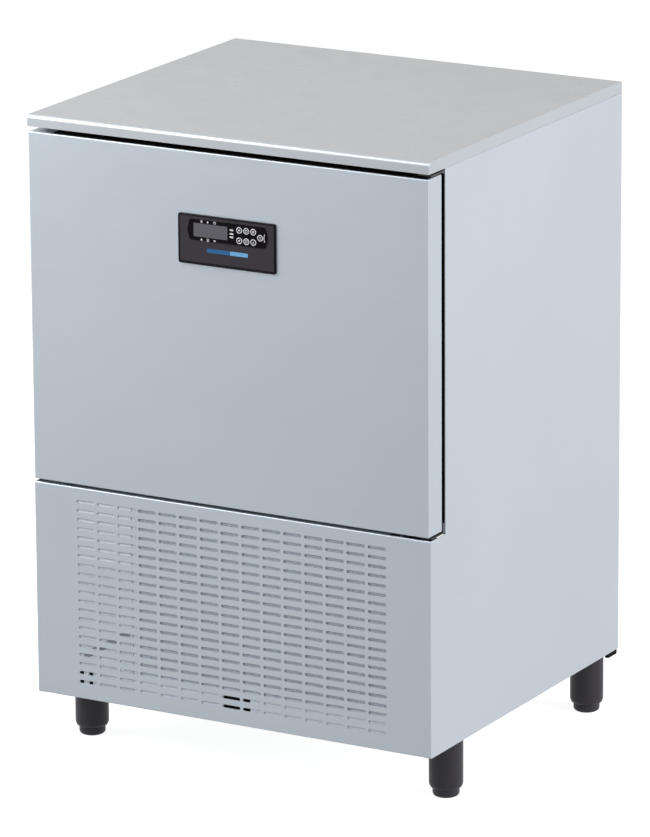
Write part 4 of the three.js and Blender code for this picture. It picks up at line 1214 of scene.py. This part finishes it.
def makeCover():
    low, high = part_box("evaporator_cover")
    y, fanZ = low.y, cover["fanZ"]
    halfWidth, halfHeight = cover["inlet"][0] / 2, cover["inlet"][1] / 2
    bm = bmesh.new()
    edges = addInsetLoop(bm, low, high, 0, y, 0)
    edges += addCircle(bm, (0, y, fanZ), cover["fanHole"], (0, 1, 0), 64)
    for x in cover["inletXs"]:
        for row in range(cover["inletRows"]):
            z = cover["inletZ"] + row * cover["inletPitch"]
            edges += addLoop(bm, rectPoints(x - halfWidth, x + halfWidth, z - halfHeight,
                                            z + halfHeight, y), halfHeight * 0.98, 6)
    fillFlat(bm, edges)
    for z in (low.z, high.z):
        extrudeEdges(bm, edgesWhere(bm, lambda co: near(co.z, z)), (0, cover["fold"], 0))
    extrudeEdges(bm, holeEdges(bm, 0, fanZ, cover["fanHole"]), (0, cover["fanCollar"], 0))
    makePiece("evaporator_cover_sheet", bm, "innerSteel", replaces=["evaporator_cover"],
              facing=(0, -1, 0), sheet=cover["sheet"], rim=0.0003)
    makeGuard(y, fanZ)
    bm = bmesh.new()
    for x in (low.x + cover["margin"], 0, high.x - cover["margin"]):
        for z in (low.z + cover["margin"], high.z - cover["margin"]):
            addScrew(bm, (x, y, z), (0, -1, 0), cover["screwRadius"])
    makePiece("evaporator_cover_screws", bm, "wireSteel")


# Rings of wire on four arms with feet
def makeGuard(y, fanZ):
    wire = guard["wire"]
    middle = Vector((0, y - guard["gap"], fanZ))
    bm = bmesh.new()
    side = Vector((0, 1, 0)).orthogonal().normalized()
    for radius in guard["rings"]:
        sweepCircle(bm, middle + side * radius, Vector((0, 1, 0)).cross(side), wire, 8, middle,
                    (0, 1, 0), 2 * pi, 64)
    reach = guard["rings"][-1] + guard["armPast"]
    middle.y += 2 * wire
    for turn in range(guard["arms"]):
        angle = pi / 4 + turn * pi / 2
        along = Vector((cos(angle), 0, sin(angle)))
        addRod(bm, middle + along * guard["armStart"], middle + along * reach, wire)
        top = middle + along * (reach - guard["footInset"])
        foot = Vector((top.x, y, top.z))
        addRod(bm, top, foot, wire)
        addScrew(bm, foot + along * guard["screwOut"], (0, -1, 0), guard["screwRadius"])
    makePiece("evaporator_fan_guard", bm, "wireSteel", smooth=50)


evaporator = {"pitch": 0.006, "fin": 0.0004, "tube": 0.005, "rows": 14, "columnPitch": 0.024,
              "tubePast": 0.004, "plate": 0.0015, "platePast": (0.003, 0.004), "plateXs": (0.0018, 0.0004)}


# Thin fins, tubes that run through them, and a plate at each end
def makeEvaporator():
    low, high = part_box("evaporator_coil")
    high.x = -low.x
    pitch, past = evaporator["pitch"], evaporator["tubePast"]
    bm = bmesh.new()
    addBlock(bm, low, (low.x + evaporator["fin"], high.y, high.z))
    repeat(bm, int((high.x - low.x) / pitch), (pitch, 0, 0))
    makePiece("evaporator_fins", bm, "aluminium", replaces=["evaporator_coil"])
    depth, height, rows = high.y - low.y, high.z - low.z, evaporator["rows"]
    columns = max(2, int(depth / evaporator["columnPitch"]))
    bm = bmesh.new()
    for column in range(columns):
        y = low.y + (column + 0.5) * depth / columns
        for row in range(rows):
            z = low.z + (row + 0.5) * height / rows
            addRod(bm, (low.x - past, y, z), (high.x + past, y, z), evaporator["tube"], 12)
    makePiece("evaporator_tubes", bm, "copper")
    pastY, pastZ = evaporator["platePast"]
    leftGap, rightGap = evaporator["plateXs"]
    bm = bmesh.new()
    for x in (low.x - leftGap, high.x + rightGap):
        addRoundBlock(bm, (x, low.y - pastY, low.z - pastZ),
                      (x + evaporator["plate"], high.y + pastY, high.z + pastZ), 0.0005)
    makePiece("evaporator_end_plates", bm, "zinc")


fans = {
    "evaporator_fan": {"hub": 0.026, "tip": 0.110, "pitch": 0.42, "cap": 0.022, "motor": 0.040,
                       "armReach": 0.132},
    "condenser_fan": {"hub": 0.030, "tip": 0.142, "pitch": 0.45, "cap": 0.026, "motor": 0.042,
                      "armReach": 0.164},
}
blade = {"count": 5, "root": 0.9, "chord": (0.95, 0.35), "sweep": 0.35, "twist": (1.25, 0.4),
         "tipFrom": 0.75, "tipRound": 0.45, "cup": 0.12, "cupMiddle": 0.08, "sheet": 0.0018, "rim": 0.0005}


def spinCentre(name):
    return Vector(next(joint["pos_m"] for joint in frame["joints"] if joint["child"] == name))


# Places a point of a flat grid on a cupped and twisted blade
def bladePoint(along, across, fan):
    root = fan["hub"] * blade["root"]
    radius = root + along * (fan["tip"] - root)
    tip = max(0, (along - blade["tipFrom"]) / (1 - blade["tipFrom"])) ** 2
    chord = blade["chord"][0] - blade["chord"][1] * along
    chord *= 1 - blade["tipRound"] * tip * abs(across)
    angle = across * chord + blade["sweep"] * along
    twist = fan["pitch"] * (blade["twist"][0] - blade["twist"][1] * along)
    cup = blade["cup"] * fan["tip"] * (across ** 2 - blade["cupMiddle"]) * along
    return cos(angle) * radius, across * chord * radius * twist - cup, sin(angle) * radius


# A fan wheel: blades and a capped hub
def makeWheel(name):
    low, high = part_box(name)
    fan, centre = fans[name], spinCentre(name)
    bm = bmesh.new()
    for vert in bmesh.ops.create_grid(bm, x_segments=10, y_segments=6, size=0.5)["verts"]:
        vert.co = bladePoint(vert.co.x + 0.5, vert.co.y, fan)
    first = bm.verts[:] + bm.edges[:] + bm.faces[:]
    for place in range(1, blade["count"]):
        made = bmesh.ops.duplicate(bm, geom=first)["geom"]
        turn = Matrix.Rotation(place * 2 * pi / blade["count"], 4, "Y")
        bmesh.ops.transform(bm, matrix=turn, verts=onlyVerts(made))
    middle = (centre.x, (low.y + high.y) / 2, centre.z)
    bmesh.ops.translate(bm, verts=bm.verts[:], vec=middle)
    makePiece(name + "_blades", bm, "fanPlastic", body=name, replaces=[name], facing=(0, -1, 0),
              sheet=blade["sheet"], rim=blade["rim"])
    r, cap = fan["hub"], fan["cap"]
    bm = bmesh.new()
    addTurned(bm, [
        (0, -0.001), (r * 0.35, 0), (r * 0.4, 0.0012), (r * 0.72, 0.0022), (r * 0.93, 0.004),
        (r * 0.99, 0.0075), (r, cap * 0.5), (r, cap), (r * 0.92, cap), (0, cap),
    ], (centre.x, low.y, centre.z), (0, 1, 0), 40)
    makePiece(name + "_hub", bm, "fanPlastic", body=name)


motor = {"gap": 0.001, "ribs": 5, "ribsFrom": 0.006, "ribsEnd": 0.008, "groove": 0.95}
motorArm = {"count": 4, "half": 0.004, "plate": 0.003, "toe": 0.010, "toePlate": 0.0022,
            "toeCorner": 0.0006, "screwAt": 0.005, "screwRadius": 0.003}


# A round motor with ribs and a bearing cap, on four arms that reach forward to a sheet
def makeMotor(fanName, sheetBack):
    name = fanName + "_motor"
    radius, reach, centre = fans[fanName]["motor"], fans[fanName]["armReach"], spinCentre(fanName)
    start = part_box(fanName)[1].y + motor["gap"]
    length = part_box(name)[1].y - start
    ribPitch = (length - motor["ribsFrom"] - motor["ribsEnd"]) / motor["ribs"]
    profile = [(0, 0), (radius * 0.45, 0), (radius * 0.9, 0.001), (radius, 0.004)]
    for rib in range(motor["ribs"]):
        at, groove = motor["ribsFrom"] + rib * ribPitch, radius * motor["groove"]
        profile += [(radius, at), (groove, at + 0.0008), (groove, at + 0.0026), (radius, at + 0.0034)]
    profile += [(radius, length - 0.006), (radius * 0.88, length - 0.002),
                (radius * 0.35, length - 0.0015), (radius * 0.3, length), (0, length)]
    bm = bmesh.new()
    addTurned(bm, profile, (centre.x, start, centre.z), (0, 1, 0), 40)
    makePiece(name + "_can", bm, "blackEnamel", replaces=[name], smooth=30)
    half, plate, back = motorArm["half"], motorArm["plate"], start + length / 2
    toeBack = sheetBack + motorArm["toePlate"]
    bm = bmesh.new()
    for arm in range(motorArm["count"]):
        before = set(bm.verts)
        addRoundBlock(bm, (radius * 0.8, back - plate, -half), (reach, back, half))
        addRoundBlock(bm, (reach - plate, sheetBack, -half), (reach, back, half))
        addRoundBlock(bm, (reach - plate, sheetBack, -half), (reach + motorArm["toe"], toeBack, half),
                      motorArm["toeCorner"])
        addScrew(bm, (reach + motorArm["screwAt"], toeBack, 0), (0, 1, 0), motorArm["screwRadius"])
        turn = Matrix.Rotation(pi / 4 + arm * pi / 2, 4, "Y")
        bmesh.ops.transform(bm, matrix=Matrix.Translation((centre.x, 0, centre.z)) @ turn,
                            verts=[vert for vert in bm.verts if vert not in before])
    makePiece(name + "_arms", bm, "zinc")


makeLiner()
makeRack("rack_left", -1)
makeRack("rack_right", 1)
makeCover()
makeEvaporator()
makeWheel("evaporator_fan")
makeMotor("evaporator_fan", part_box("evaporator_cover")[0].y + cover["sheet"] + 0.0003)
print("chamber made")


# machine compartment

condenser = {"pitch": 0.003, "fold": 0.0012, "foil": 0.0002, "frame": 0.0012, "frameCorner": 0.0004,
             "lip": 0.007, "tubeRows": 13, "tube": 0.0045, "tubeDepths": (0.028, 0.046),
             "tubePast": 0.002, "bottom": 0.1645, "foot": (0.036, 0.021, 0.023), "overlap": 0.001,
             "skirtDrop": 0.0425, "skirtGap": (-0.016, 0.038), "skirt": (0.0004, 0.001),
             "skirtCorner": 0.0003, "rise": 0.0012}


# Folded foil, shallow enough to catch the light, in a frame with skirts; tubes lie behind it
def makeCondenser():
    low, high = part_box("condenser_coil")
    low.y -= condenser["rise"]
    bottom, lip, pitch = condenser["bottom"], condenser["lip"], condenser["pitch"]
    z0, z1 = bottom + lip * 0.6, high.z - lip * 0.6
    count = int((high.x - low.x - 2 * lip) / pitch)
    start = (low.x + high.x) / 2 - count * pitch / 2
    y0 = low.y + condenser["foil"]
    y1 = y0 + condenser["fold"]
    bm = bmesh.new()
    fold = addPath(bm, ((start, y1, z0), (start + pitch / 2, y0, z0), (start + pitch, y1, z0)))[1]
    extrudeEdges(bm, fold, (0, 0, z1 - z0))
    repeat(bm, count, (pitch, 0, 0))
    makePiece("condenser_foil", bm, "aluminium", replaces=["condenser_coil"], facing=(0, -1, 0),
              sheet=condenser["foil"])
    makeCondenserFrame(low, high)
    rows, past = condenser["tubeRows"], condenser["tubePast"]
    spacing = (z1 - z0) / rows
    bm = bmesh.new()
    for depth in condenser["tubeDepths"]:
        for row in range(rows):
            y, z = low.y + depth, z0 + (row + 0.5) * spacing
            addRod(bm, (low.x - past, y, z), (high.x + past, y, z), condenser["tube"], 12)
        for sign, x, first in ((-1, low.x - past, 0), (1, high.x + past, 1)):
            for row in range(first, rows - 1, 2):
                addHairpin(bm, Vector((x, low.y + depth, z0 + (row + 1) * spacing)), spacing / 2, sign)
    makePiece("condenser_tubes", bm, "copper", smooth=60)


def makeCondenserFrame(low, high):
    bottom, lip, t = condenser["bottom"], condenser["lip"], condenser["frame"]
    corner, lipBack, overlap = condenser["frameCorner"], low.y + t, bottom + condenser["overlap"]
    bm = bmesh.new()
    for x, width, y in ((low.x, lip, lipBack), (high.x - lip, lip, lipBack), (low.x, t, high.y),
                        (high.x - t, t, high.y)):
        addRoundBlock(bm, (x, low.y, bottom), (x + width, y, high.z), corner)
    for z, height, y in ((bottom, t, high.y), (high.z - t, t, high.y), (bottom, lip, lipBack),
                         (high.z - lip, lip, lipBack)):
        addRoundBlock(bm, (low.x, low.y, z), (high.x, y, z + height), corner)
    footLeft, footFront, footBack = condenser["foot"]
    addRoundBlock(bm, (footLeft, low.y + footFront, low.z), (high.x, low.y + footBack, overlap), corner)
    (gapLeft, gapRight), (front, behind) = condenser["skirtGap"], condenser["skirt"]
    for x0, x1 in ((low.x, gapLeft), (gapRight, high.x)):
        addRoundBlock(bm, (x0, low.y - front, bottom - condenser["skirtDrop"]),
                      (x1, low.y + behind, overlap), condenser["skirtCorner"])
    makePiece("condenser_frame", bm, "aluminium")


# A half turn of tube in the XZ plane, at the end of a coil
def addHairpin(bm, centre, radius, sign):
    sweepCircle(bm, centre - Vector((0, 0, radius)), (1, 0, 0), condenser["tube"], 10, centre,
                (0, -sign, 0), pi, 10)


shroud = {"sheet": 0.0012, "corner": 0.004, "hole": 0.15, "collar": 0.010}


def makeShroud():
    low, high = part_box("condenser_shroud")
    centre = spinCentre("condenser_fan")
    bm = bmesh.new()
    outer = addInsetLoop(bm, low, high, 0, high.y, shroud["corner"], 4)
    hole = addCircle(bm, (centre.x, high.y, centre.z), shroud["hole"], (0, 1, 0), 72)
    fillFlat(bm, outer + hole)
    rim = holeEdges(bm, centre.x, centre.z, shroud["hole"])
    border = [edge for edge in bm.edges if edge.is_boundary and edge not in set(rim)]
    extrudeEdges(bm, border, (0, low.y - high.y, 0))
    extrudeEdges(bm, rim, (0, shroud["collar"], 0))
    makePiece("condenser_shroud_sheet", bm, "zinc", replaces=["condenser_shroud"],
              facing=(0, 1, 0), sheet=shroud["sheet"], rim=0.0003)


compressor = {"radius": 0.092, "steps": 64, "stub": 0.0062, "stubStart": 0.008, "plate": 0.003,
              "plateCorner": 0.014, "boltXs": (-0.096, 0.096), "boltYs": (-0.07, 0.07)}
# Pipe stubs: place from the middle, height above the foot plate, length
stubs = ((-0.04, 0.088, 0.06, 0.012), (0.0, -0.09, 0.12, 0.012), (-0.062, -0.064, 0.12, 0.02))
bolt = [(0, 0), (0.011, 0), (0.011, 0.0015), (0.0065, 0.0017), (0.0065, 0.0065), (0.0055, 0.0075),
        (0, 0.0075)]
terminalCover = {"under": 0.004, "corner": 0.006, "outlet": [
    (0, -0.02), (0.009, -0.02), (0.009, 0.004), (0.0075, 0.0055), (0, 0.0055)]}


def makeCompressor():
    low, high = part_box("compressor")
    x, y, plate = (low.x + high.x) / 2, (low.y + high.y) / 2, low.z
    r = compressor["radius"]
    bm = bmesh.new()
    addTurned(bm, [
        (0, 0.001), (r - 0.034, 0.001), (r - 0.020, 0.006), (r - 0.010, 0.015), (r - 0.004, 0.027),
        (r - 0.001, 0.040), (r, 0.055), (r, 0.086), (r + 0.0005, 0.090), (r + 0.003, 0.0915),
        (r + 0.003, 0.0955), (r + 0.0016, 0.0965), (r + 0.003, 0.0975), (r + 0.003, 0.1),
        (r, 0.1015), (r - 0.0004, 0.120), (r - 0.001, 0.142), (r - 0.005, 0.162), (r - 0.014, 0.180),
        (r - 0.028, 0.192), (r - 0.048, 0.200), (r - 0.070, 0.2035), (0, 0.204),
    ], (x, y, plate), steps=compressor["steps"])
    for dx, dy, height, length in stubs:
        out = Vector((dx, dy, 0)).normalized()
        start = Vector((x + dx, y + dy, plate + height))
        addRod(bm, start - out * compressor["stubStart"], start + out * length, compressor["stub"], 16)
    makePiece("compressor_shell", bm, "blackEnamel", replaces=["compressor"], smooth=40)
    thick = compressor["plate"]
    bm = bmesh.new()
    outline = addLoop(bm, flatPoints(low.x, high.x, low.y, high.y, plate), compressor["plateCorner"], 6)
    extrudeFaces(bm, fillFlat(bm, outline), (0, 0, thick))
    for dx in compressor["boltXs"]:
        for dy in compressor["boltYs"]:
            addTurned(bm, bolt, (x + dx, y + dy, plate + thick), steps=6)
    makePiece("compressor_foot_plate", bm, "blackEnamel")


def makeGrommets():
    for number in range(1, 5):
        name = "compressor_grommet_%d" % number
        low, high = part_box(name)
        middle = (low + high) / 2
        height = high.z - low.z
        r = (high.x - low.x) / 2
        bm = bmesh.new()
        addTurned(bm, [
            (0, 0), (r - 0.001, 0), (r, 0.001), (r, 0.0045), (r - 0.001, 0.0056),
            (r - 0.0036, 0.0066), (r - 0.004, 0.0080), (r - 0.0036, 0.0094), (r - 0.001, 0.0104),
            (r, 0.0116), (r, height - 0.001), (r - 0.001, height), (0, height),
        ], (middle.x, middle.y, low.z))
        makePiece(name + "_rubber", bm, "rubber", replaces=[name], smooth=60)


def makeTerminalCover():
    low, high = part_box("compressor_terminal_cover")
    under = terminalCover["under"]
    middle = (low + high) / 2
    bm = bmesh.new()
    addRoundBlock(bm, (low.x - under, low.y, low.z), high, terminalCover["corner"], 4)
    addTurned(bm, terminalCover["outlet"], (middle.x + under, middle.y, low.z), (0, 0, -1), 20)
    makePiece("terminal_cover_cap", bm, "fanPlastic", replaces=["compressor_terminal_cover"])


electrics = {
    "bottom": 0.361, "reach": 0.0026, "rise": 0.0011,
    "plate": {"sheet": 0.0012, "corner": 0.001, "overlap": 0.002},
    "cableSlots": {"xs": (-0.309, -0.290), "width": 0.008, "z": (0.133, 0.166), "corner": 0.001},
    "brace": {"place": (-0.2560, 0.2164), "length": 0.110, "width": 0.012, "turn": 30.5,
              "depth": 0.0003, "thickness": 0.001},
    "rivet": {"place": (-0.2235, 0.1765), "radius": 0.0042},
    "housing": {"sheet": 0.0015, "corner": 0.0012},
    "lid": {"setIn": 0.004, "thickness": 0.0015, "inset": 0.002, "corner": 0.0005,
            "screwInset": 0.009, "screwRadius": 0.003},
}


# The plate that stands on the fold of the front panel, with a slit in front of its brace
def makeElectricalPlate(low, high):
    y, plate, slots = low.y, electrics["plate"], electrics["cableSlots"]
    brace, rivet = electrics["brace"], electrics["rivet"]
    bm = bmesh.new()
    loops = addLoop(bm, rectPoints(low.x, high.x, low.z, electrics["bottom"] + plate["overlap"], y),
                    plate["corner"], 4)
    for x in slots["xs"]:
        half = slots["width"] / 2
        loops += addLoop(bm, rectPoints(x - half, x + half, *slots["z"], y), slots["corner"], 2)
    corners = barCorners(*brace["place"], brace["length"], brace["width"], radians(brace["turn"]))
    slit = addLoop(bm, [(x, y, z) for x, z in corners], brace["width"] * 0.45)
    fillFlat(bm, loops + slit)
    makePiece("electrical_plate", bm, "paleZinc", facing=(0, -1, 0), sheet=plate["sheet"])
    thickness = brace["thickness"]
    bm = bmesh.new()
    addFlat(bm, corners, y + brace["depth"] + thickness, thickness)
    makePiece("electrical_plate_brace", bm, "braceGrey")
    r = rivet["radius"]
    x, z = rivet["place"]
    bm = bmesh.new()
    addTurned(bm, [(0, 0.0009), (r * 0.6, 0.0008), (r * 0.94, 0.0004), (r, 0), (0, 0)], (x, y, z),
              (0, -1, 0), 20)
    makePiece("electrical_rivet", bm, "whitePrint")


# The box hangs on its plate, and its lid looks backwards
def makeElectricalBox():
    low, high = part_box("electrical_box")
    low.y -= electrics["rise"]
    high.x += electrics["reach"]
    makeElectricalPlate(low, high)
    housing, lid = electrics["housing"], electrics["lid"]
    low.z = electrics["bottom"]
    lidBack = high.y - lid["setIn"]
    bm = bmesh.new()
    addTub(bm, low, (high.x, lidBack, high.z), 1, lidBack, housing["corner"], 3)
    makePiece("electrical_housing", bm, "paleCoat", replaces=["electrical_box"], facing=(0, -1, 0),
              sheet=housing["sheet"])
    inset, screwInset = lid["inset"], lid["screwInset"]
    bm = bmesh.new()
    addRoundBlock(bm, (low.x + inset, lidBack - lid["thickness"], low.z + inset),
                  (high.x - inset, lidBack, high.z - inset), lid["corner"])
    for x in (low.x + screwInset, high.x - screwInset):
        for z in (low.z + screwInset, high.z - screwInset):
            addScrew(bm, (x, lidBack, z), (0, 1, 0), lid["screwRadius"])
    makePiece("electrical_lid", bm, "paleCoat")


gland = {
    "nut": 0.015, "nutCorner": 0.0008,
    "nuts": ((0.092, 0.1005), (0.1015, 0.1077), (0.1098, 0.117)),
    "mouth": [(0.0045, 0.0822), (0.0072, 0.0816), (0.0092, 0.0832), (0.0108, 0.086),
              (0.011, 0.0918), (0.0095, 0.0922), (0.0045, 0.0922), (0.0045, 0.0822)],
}


def makeGland():
    low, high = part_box("cable_gland")
    x, y = (low.x + high.x) / 2, (low.y + high.y) / 2
    bm = bmesh.new()
    addTurned(bm, gland["mouth"], (x, y, 0))
    for z0, z1 in gland["nuts"]:
        nut = addRod(bm, (x, y, z0), (x, y, z1), gland["nut"], 6)
        roundEdges(bm, edgesOf(nut), gland["nutCorner"], 2)
    makePiece("cable_gland_nuts", bm, "blackPlastic", replaces=["cable_gland"])


# Tubes between corner points with round bends
def makeTube(name, corners, radius, bend):
    steps = 8
    corners = [Vector(point) for point in corners]
    path = [corners[0]]
    for before, here, after in zip(corners, corners[1:], corners[2:]):
        enter = here + (before - here).normalized() * bend
        leave = here + (after - here).normalized() * bend
        for step in range(steps + 1):
            t = step / steps
            path.append(enter * (1 - t) ** 2 + here * 2 * t * (1 - t) + leave * t * t)
    path.append(corners[-1])
    curve = bpy.data.curves.new(name + "_line", "CURVE")
    curve.dimensions = "3D"
    spline = curve.splines.new("POLY")
    spline.points.add(len(path) - 1)
    for point, place in zip(spline.points, path):
        point.co = (*place, 1)
    curve.bevel_depth = radius
    curve.bevel_resolution = 5
    curve.use_fill_caps = True
    slot, copper = looks["copper"]
    curve.materials.append(copper)
    tube = bpy.data.objects.new(name + "_tube", curve)
    bpy.context.scene.collection.objects.link(tube)
    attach(tube, "cabinet")
    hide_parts(name)


pipes = {"thin": 0.004, "thick": 0.006, "tightBend": 0.009, "bend": 0.02, "endGap": 0.0003,
         "riser": 0.6085}
discharge = {"up": 0.12, "stub": 0.096, "turn": 0.162, "beside": 0.018, "inlet": 0.0485,
             "inletZ": 0.448, "end": 0.0177}
suction = {"up": 0.06, "left": 0.04, "stub": 0.094, "turn": 0.142, "riserX": 0.25}
liquid = {"crossZ": 0.338, "riserX": 0.22}


def makePipes():
    low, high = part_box("compressor")
    x, y = (low.x + high.x) / 2, (low.y + high.y) / 2
    front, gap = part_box("side_panel_left")[0].y, pipes["endGap"]
    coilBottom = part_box("evaporator_coil")[0].z - gap
    riserY = front + pipes["riser"]
    z, inletZ = low.z + discharge["up"], discharge["inletZ"]
    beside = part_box("condenser_coil")[1].x + discharge["beside"]
    turnY, inletY = y - discharge["turn"], front + discharge["inlet"]
    makeTube("discharge_pipe", [
        (x, y - discharge["stub"], z), (x, turnY, z), (beside, turnY, z), (beside, turnY, inletZ),
        (beside, inletY, inletZ), (beside - discharge["end"], inletY, inletZ)],
        pipes["thin"], pipes["tightBend"])
    stubX, turnY, z = x - suction["left"], y + suction["turn"], low.z + suction["up"]
    riserX = suction["riserX"]
    makeTube("suction_pipe", [
        (stubX, y + suction["stub"], z), (stubX, turnY, z), (riserX, turnY, z), (riserX, riserY, z),
        (riserX, riserY, coilBottom)], pipes["thick"], pipes["bend"])
    low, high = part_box("filter_drier")
    x, y = (low.x + high.x) / 2, (low.y + high.y) / 2
    crossZ, riserX = liquid["crossZ"], liquid["riserX"]
    makeTube("liquid_pipe", [
        (x, y, high.z + gap), (x, y, crossZ), (x, riserY, crossZ), (riserX, riserY, crossZ),
        (riserX, riserY, coilBottom)], pipes["thin"], pipes["bend"])


drier = {"radius": 0.0238, "bead": 0.0004, "neck": [
    (0, 0), (0.0068, 0), (0.007, 0.0004), (0.007, 0.008), (0.009, 0.0095), (0.014, 0.0125),
    (0.020, 0.0175)]}


def makeDrier():
    low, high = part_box("filter_drier")
    r, length = drier["radius"], high.z - low.z
    half = drier["neck"] + [(r, 0.0225), (r, 0.030), (r + drier["bead"], 0.0306), (r, 0.0312)]
    profile = half + [(radius, length - height) for radius, height in reversed(half)]
    bm = bmesh.new()
    addTurned(bm, profile, ((low.x + high.x) / 2, (low.y + high.y) / 2, low.z), steps=40)
    makePiece("filter_drier_body", bm, "copper", replaces=["filter_drier"], smooth=45)


tray = {"sheet": 0.0012, "corner": 0.004}


def makeCondensateTray():
    low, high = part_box("condensate_tray")
    bm = bmesh.new()
    addTub(bm, low, high, 2, high.z, tray["corner"], 3)
    makePiece("condensate_tray_pan", bm, "zinc", replaces=["condensate_tray"], facing=(0, 0, -1),
              sheet=tray["sheet"], rim=0.0003)


makeCondenser()
makeShroud()
makeWheel("condenser_fan")
makeMotor("condenser_fan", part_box("condenser_shroud")[1].y + 0.0003)
makeCompressor()
makeGrommets()
makeTerminalCover()
makeElectricalBox()
makeGland()
makePipes()
makeDrier()
makeCondensateTray()
print("machine compartment made")


# what stays as CAD: the frame behind the door, the foam and the base tray

carriedOver = {"front_frame": "innerSteel", "insulation_body": "foam", "door_foam": "foam",
               "base_tray": "dustyZinc"}
for name, look in carriedOver.items():
    materials = nodes[name].data.materials
    materials.clear()
    materials.append(looks[look][1])


# floor, world and lamps

stageSet = {"floor": 60, "floorColor": "808080", "paper": 0.9, "shade": "B4B4B4"}
skyLight = {"color": (0.95, 0.97, 1, 1), "strength": 0.2}
lamps = [
    {"name": "front softbox", "place": (-1.8, -1.6, 2.3), "size": 2.3, "watts": 84,
     "aim": (0, -0.3, 0.7)},
    {"name": "side softbox", "place": (5.0, 0.4, 2.5), "size": 2.8, "watts": 228,
     "aim": (0, 0, 0.6)},
]


def lightPath(tree):
    return addNode(tree, "ShaderNodeLightPath").outputs


# Is 1 for rays that gloss or glass sends out
def mirrorRays(tree):
    rays = lightPath(tree)
    return mathNode(tree, "MAXIMUM", rays["Is Glossy Ray"], rays["Is Transmission Ray"])


# White paper to the camera and in reflections, a grey card to the light that bounces
def makeFloor():
    bm = bmesh.new()
    bmesh.ops.create_grid(bm, x_segments=1, y_segments=1, size=stageSet["floor"] / 2)
    mesh = bpy.data.meshes.new("floor")
    bm.to_mesh(mesh)
    bm.free()
    floor = bpy.data.objects.new("floor", mesh)
    bpy.context.scene.collection.objects.link(floor)
    material, tree, shader = newLook("floor", Base_Color=fromHex(stageSet["floorColor"]),
                                     Roughness=0.9, Specular_IOR_Level=0.1)
    plain = addNode(tree, "ShaderNodeEmission", {"Strength": 1.0})
    paper = addNode(tree, "ShaderNodeEmission", {"Strength": stageSet["paper"]})
    shade = addNode(tree, "ShaderNodeBsdfDiffuse", {"Color": fromHex(stageSet["shade"])})
    shaded = addNode(tree, "ShaderNodeAddShader", {0: paper.outputs[0], 1: shade.outputs[0]})
    mirrored = addNode(tree, "ShaderNodeMixShader", {
        0: mirrorRays(tree), 1: shader.outputs[0], 2: plain.outputs[0]})
    mix = addNode(tree, "ShaderNodeMixShader", {
        0: lightPath(tree)["Is Camera Ray"], 1: mirrored.outputs[0], 2: shaded.outputs[0]})
    tree.links.new(mix.outputs[0], tree.nodes["Material Output"].inputs["Surface"])
    mesh.materials.append(material)


def makeWorld():
    world = bpy.data.worlds.new("studio")
    bpy.context.scene.world = world
    world.use_nodes = True
    tree = world.node_tree
    tree.nodes.clear()
    soft = addNode(tree, "ShaderNodeBackground", {
        "Color": skyLight["color"], "Strength": skyLight["strength"]})
    plain = addNode(tree, "ShaderNodeBackground", {"Color": (1, 1, 1, 1), "Strength": 1.0})
    seen = mathNode(tree, "MAXIMUM", lightPath(tree)["Is Camera Ray"], mirrorRays(tree))
    mix = addNode(tree, "ShaderNodeMixShader", {0: seen, 1: soft.outputs[0], 2: plain.outputs[0]})
    end = tree.nodes.new("ShaderNodeOutputWorld")
    tree.links.new(mix.outputs[0], end.inputs["Surface"])


def makeLamps():
    for lamp in lamps:
        data = bpy.data.lights.new(lamp["name"], "AREA")
        data.shape = "SQUARE"
        data.size = lamp["size"]
        data.energy = lamp["watts"]
        place = bpy.data.objects.new(lamp["name"], data)
        away = Vector(lamp["place"]) - Vector(lamp["aim"])
        place.matrix_world = (Matrix.Translation(lamp["place"])
                              @ away.to_track_quat("Z", "Y").to_matrix().to_4x4())
        bpy.context.scene.collection.objects.link(place)


makeFloor()
makeWorld()
makeLamps()
print("stage made")
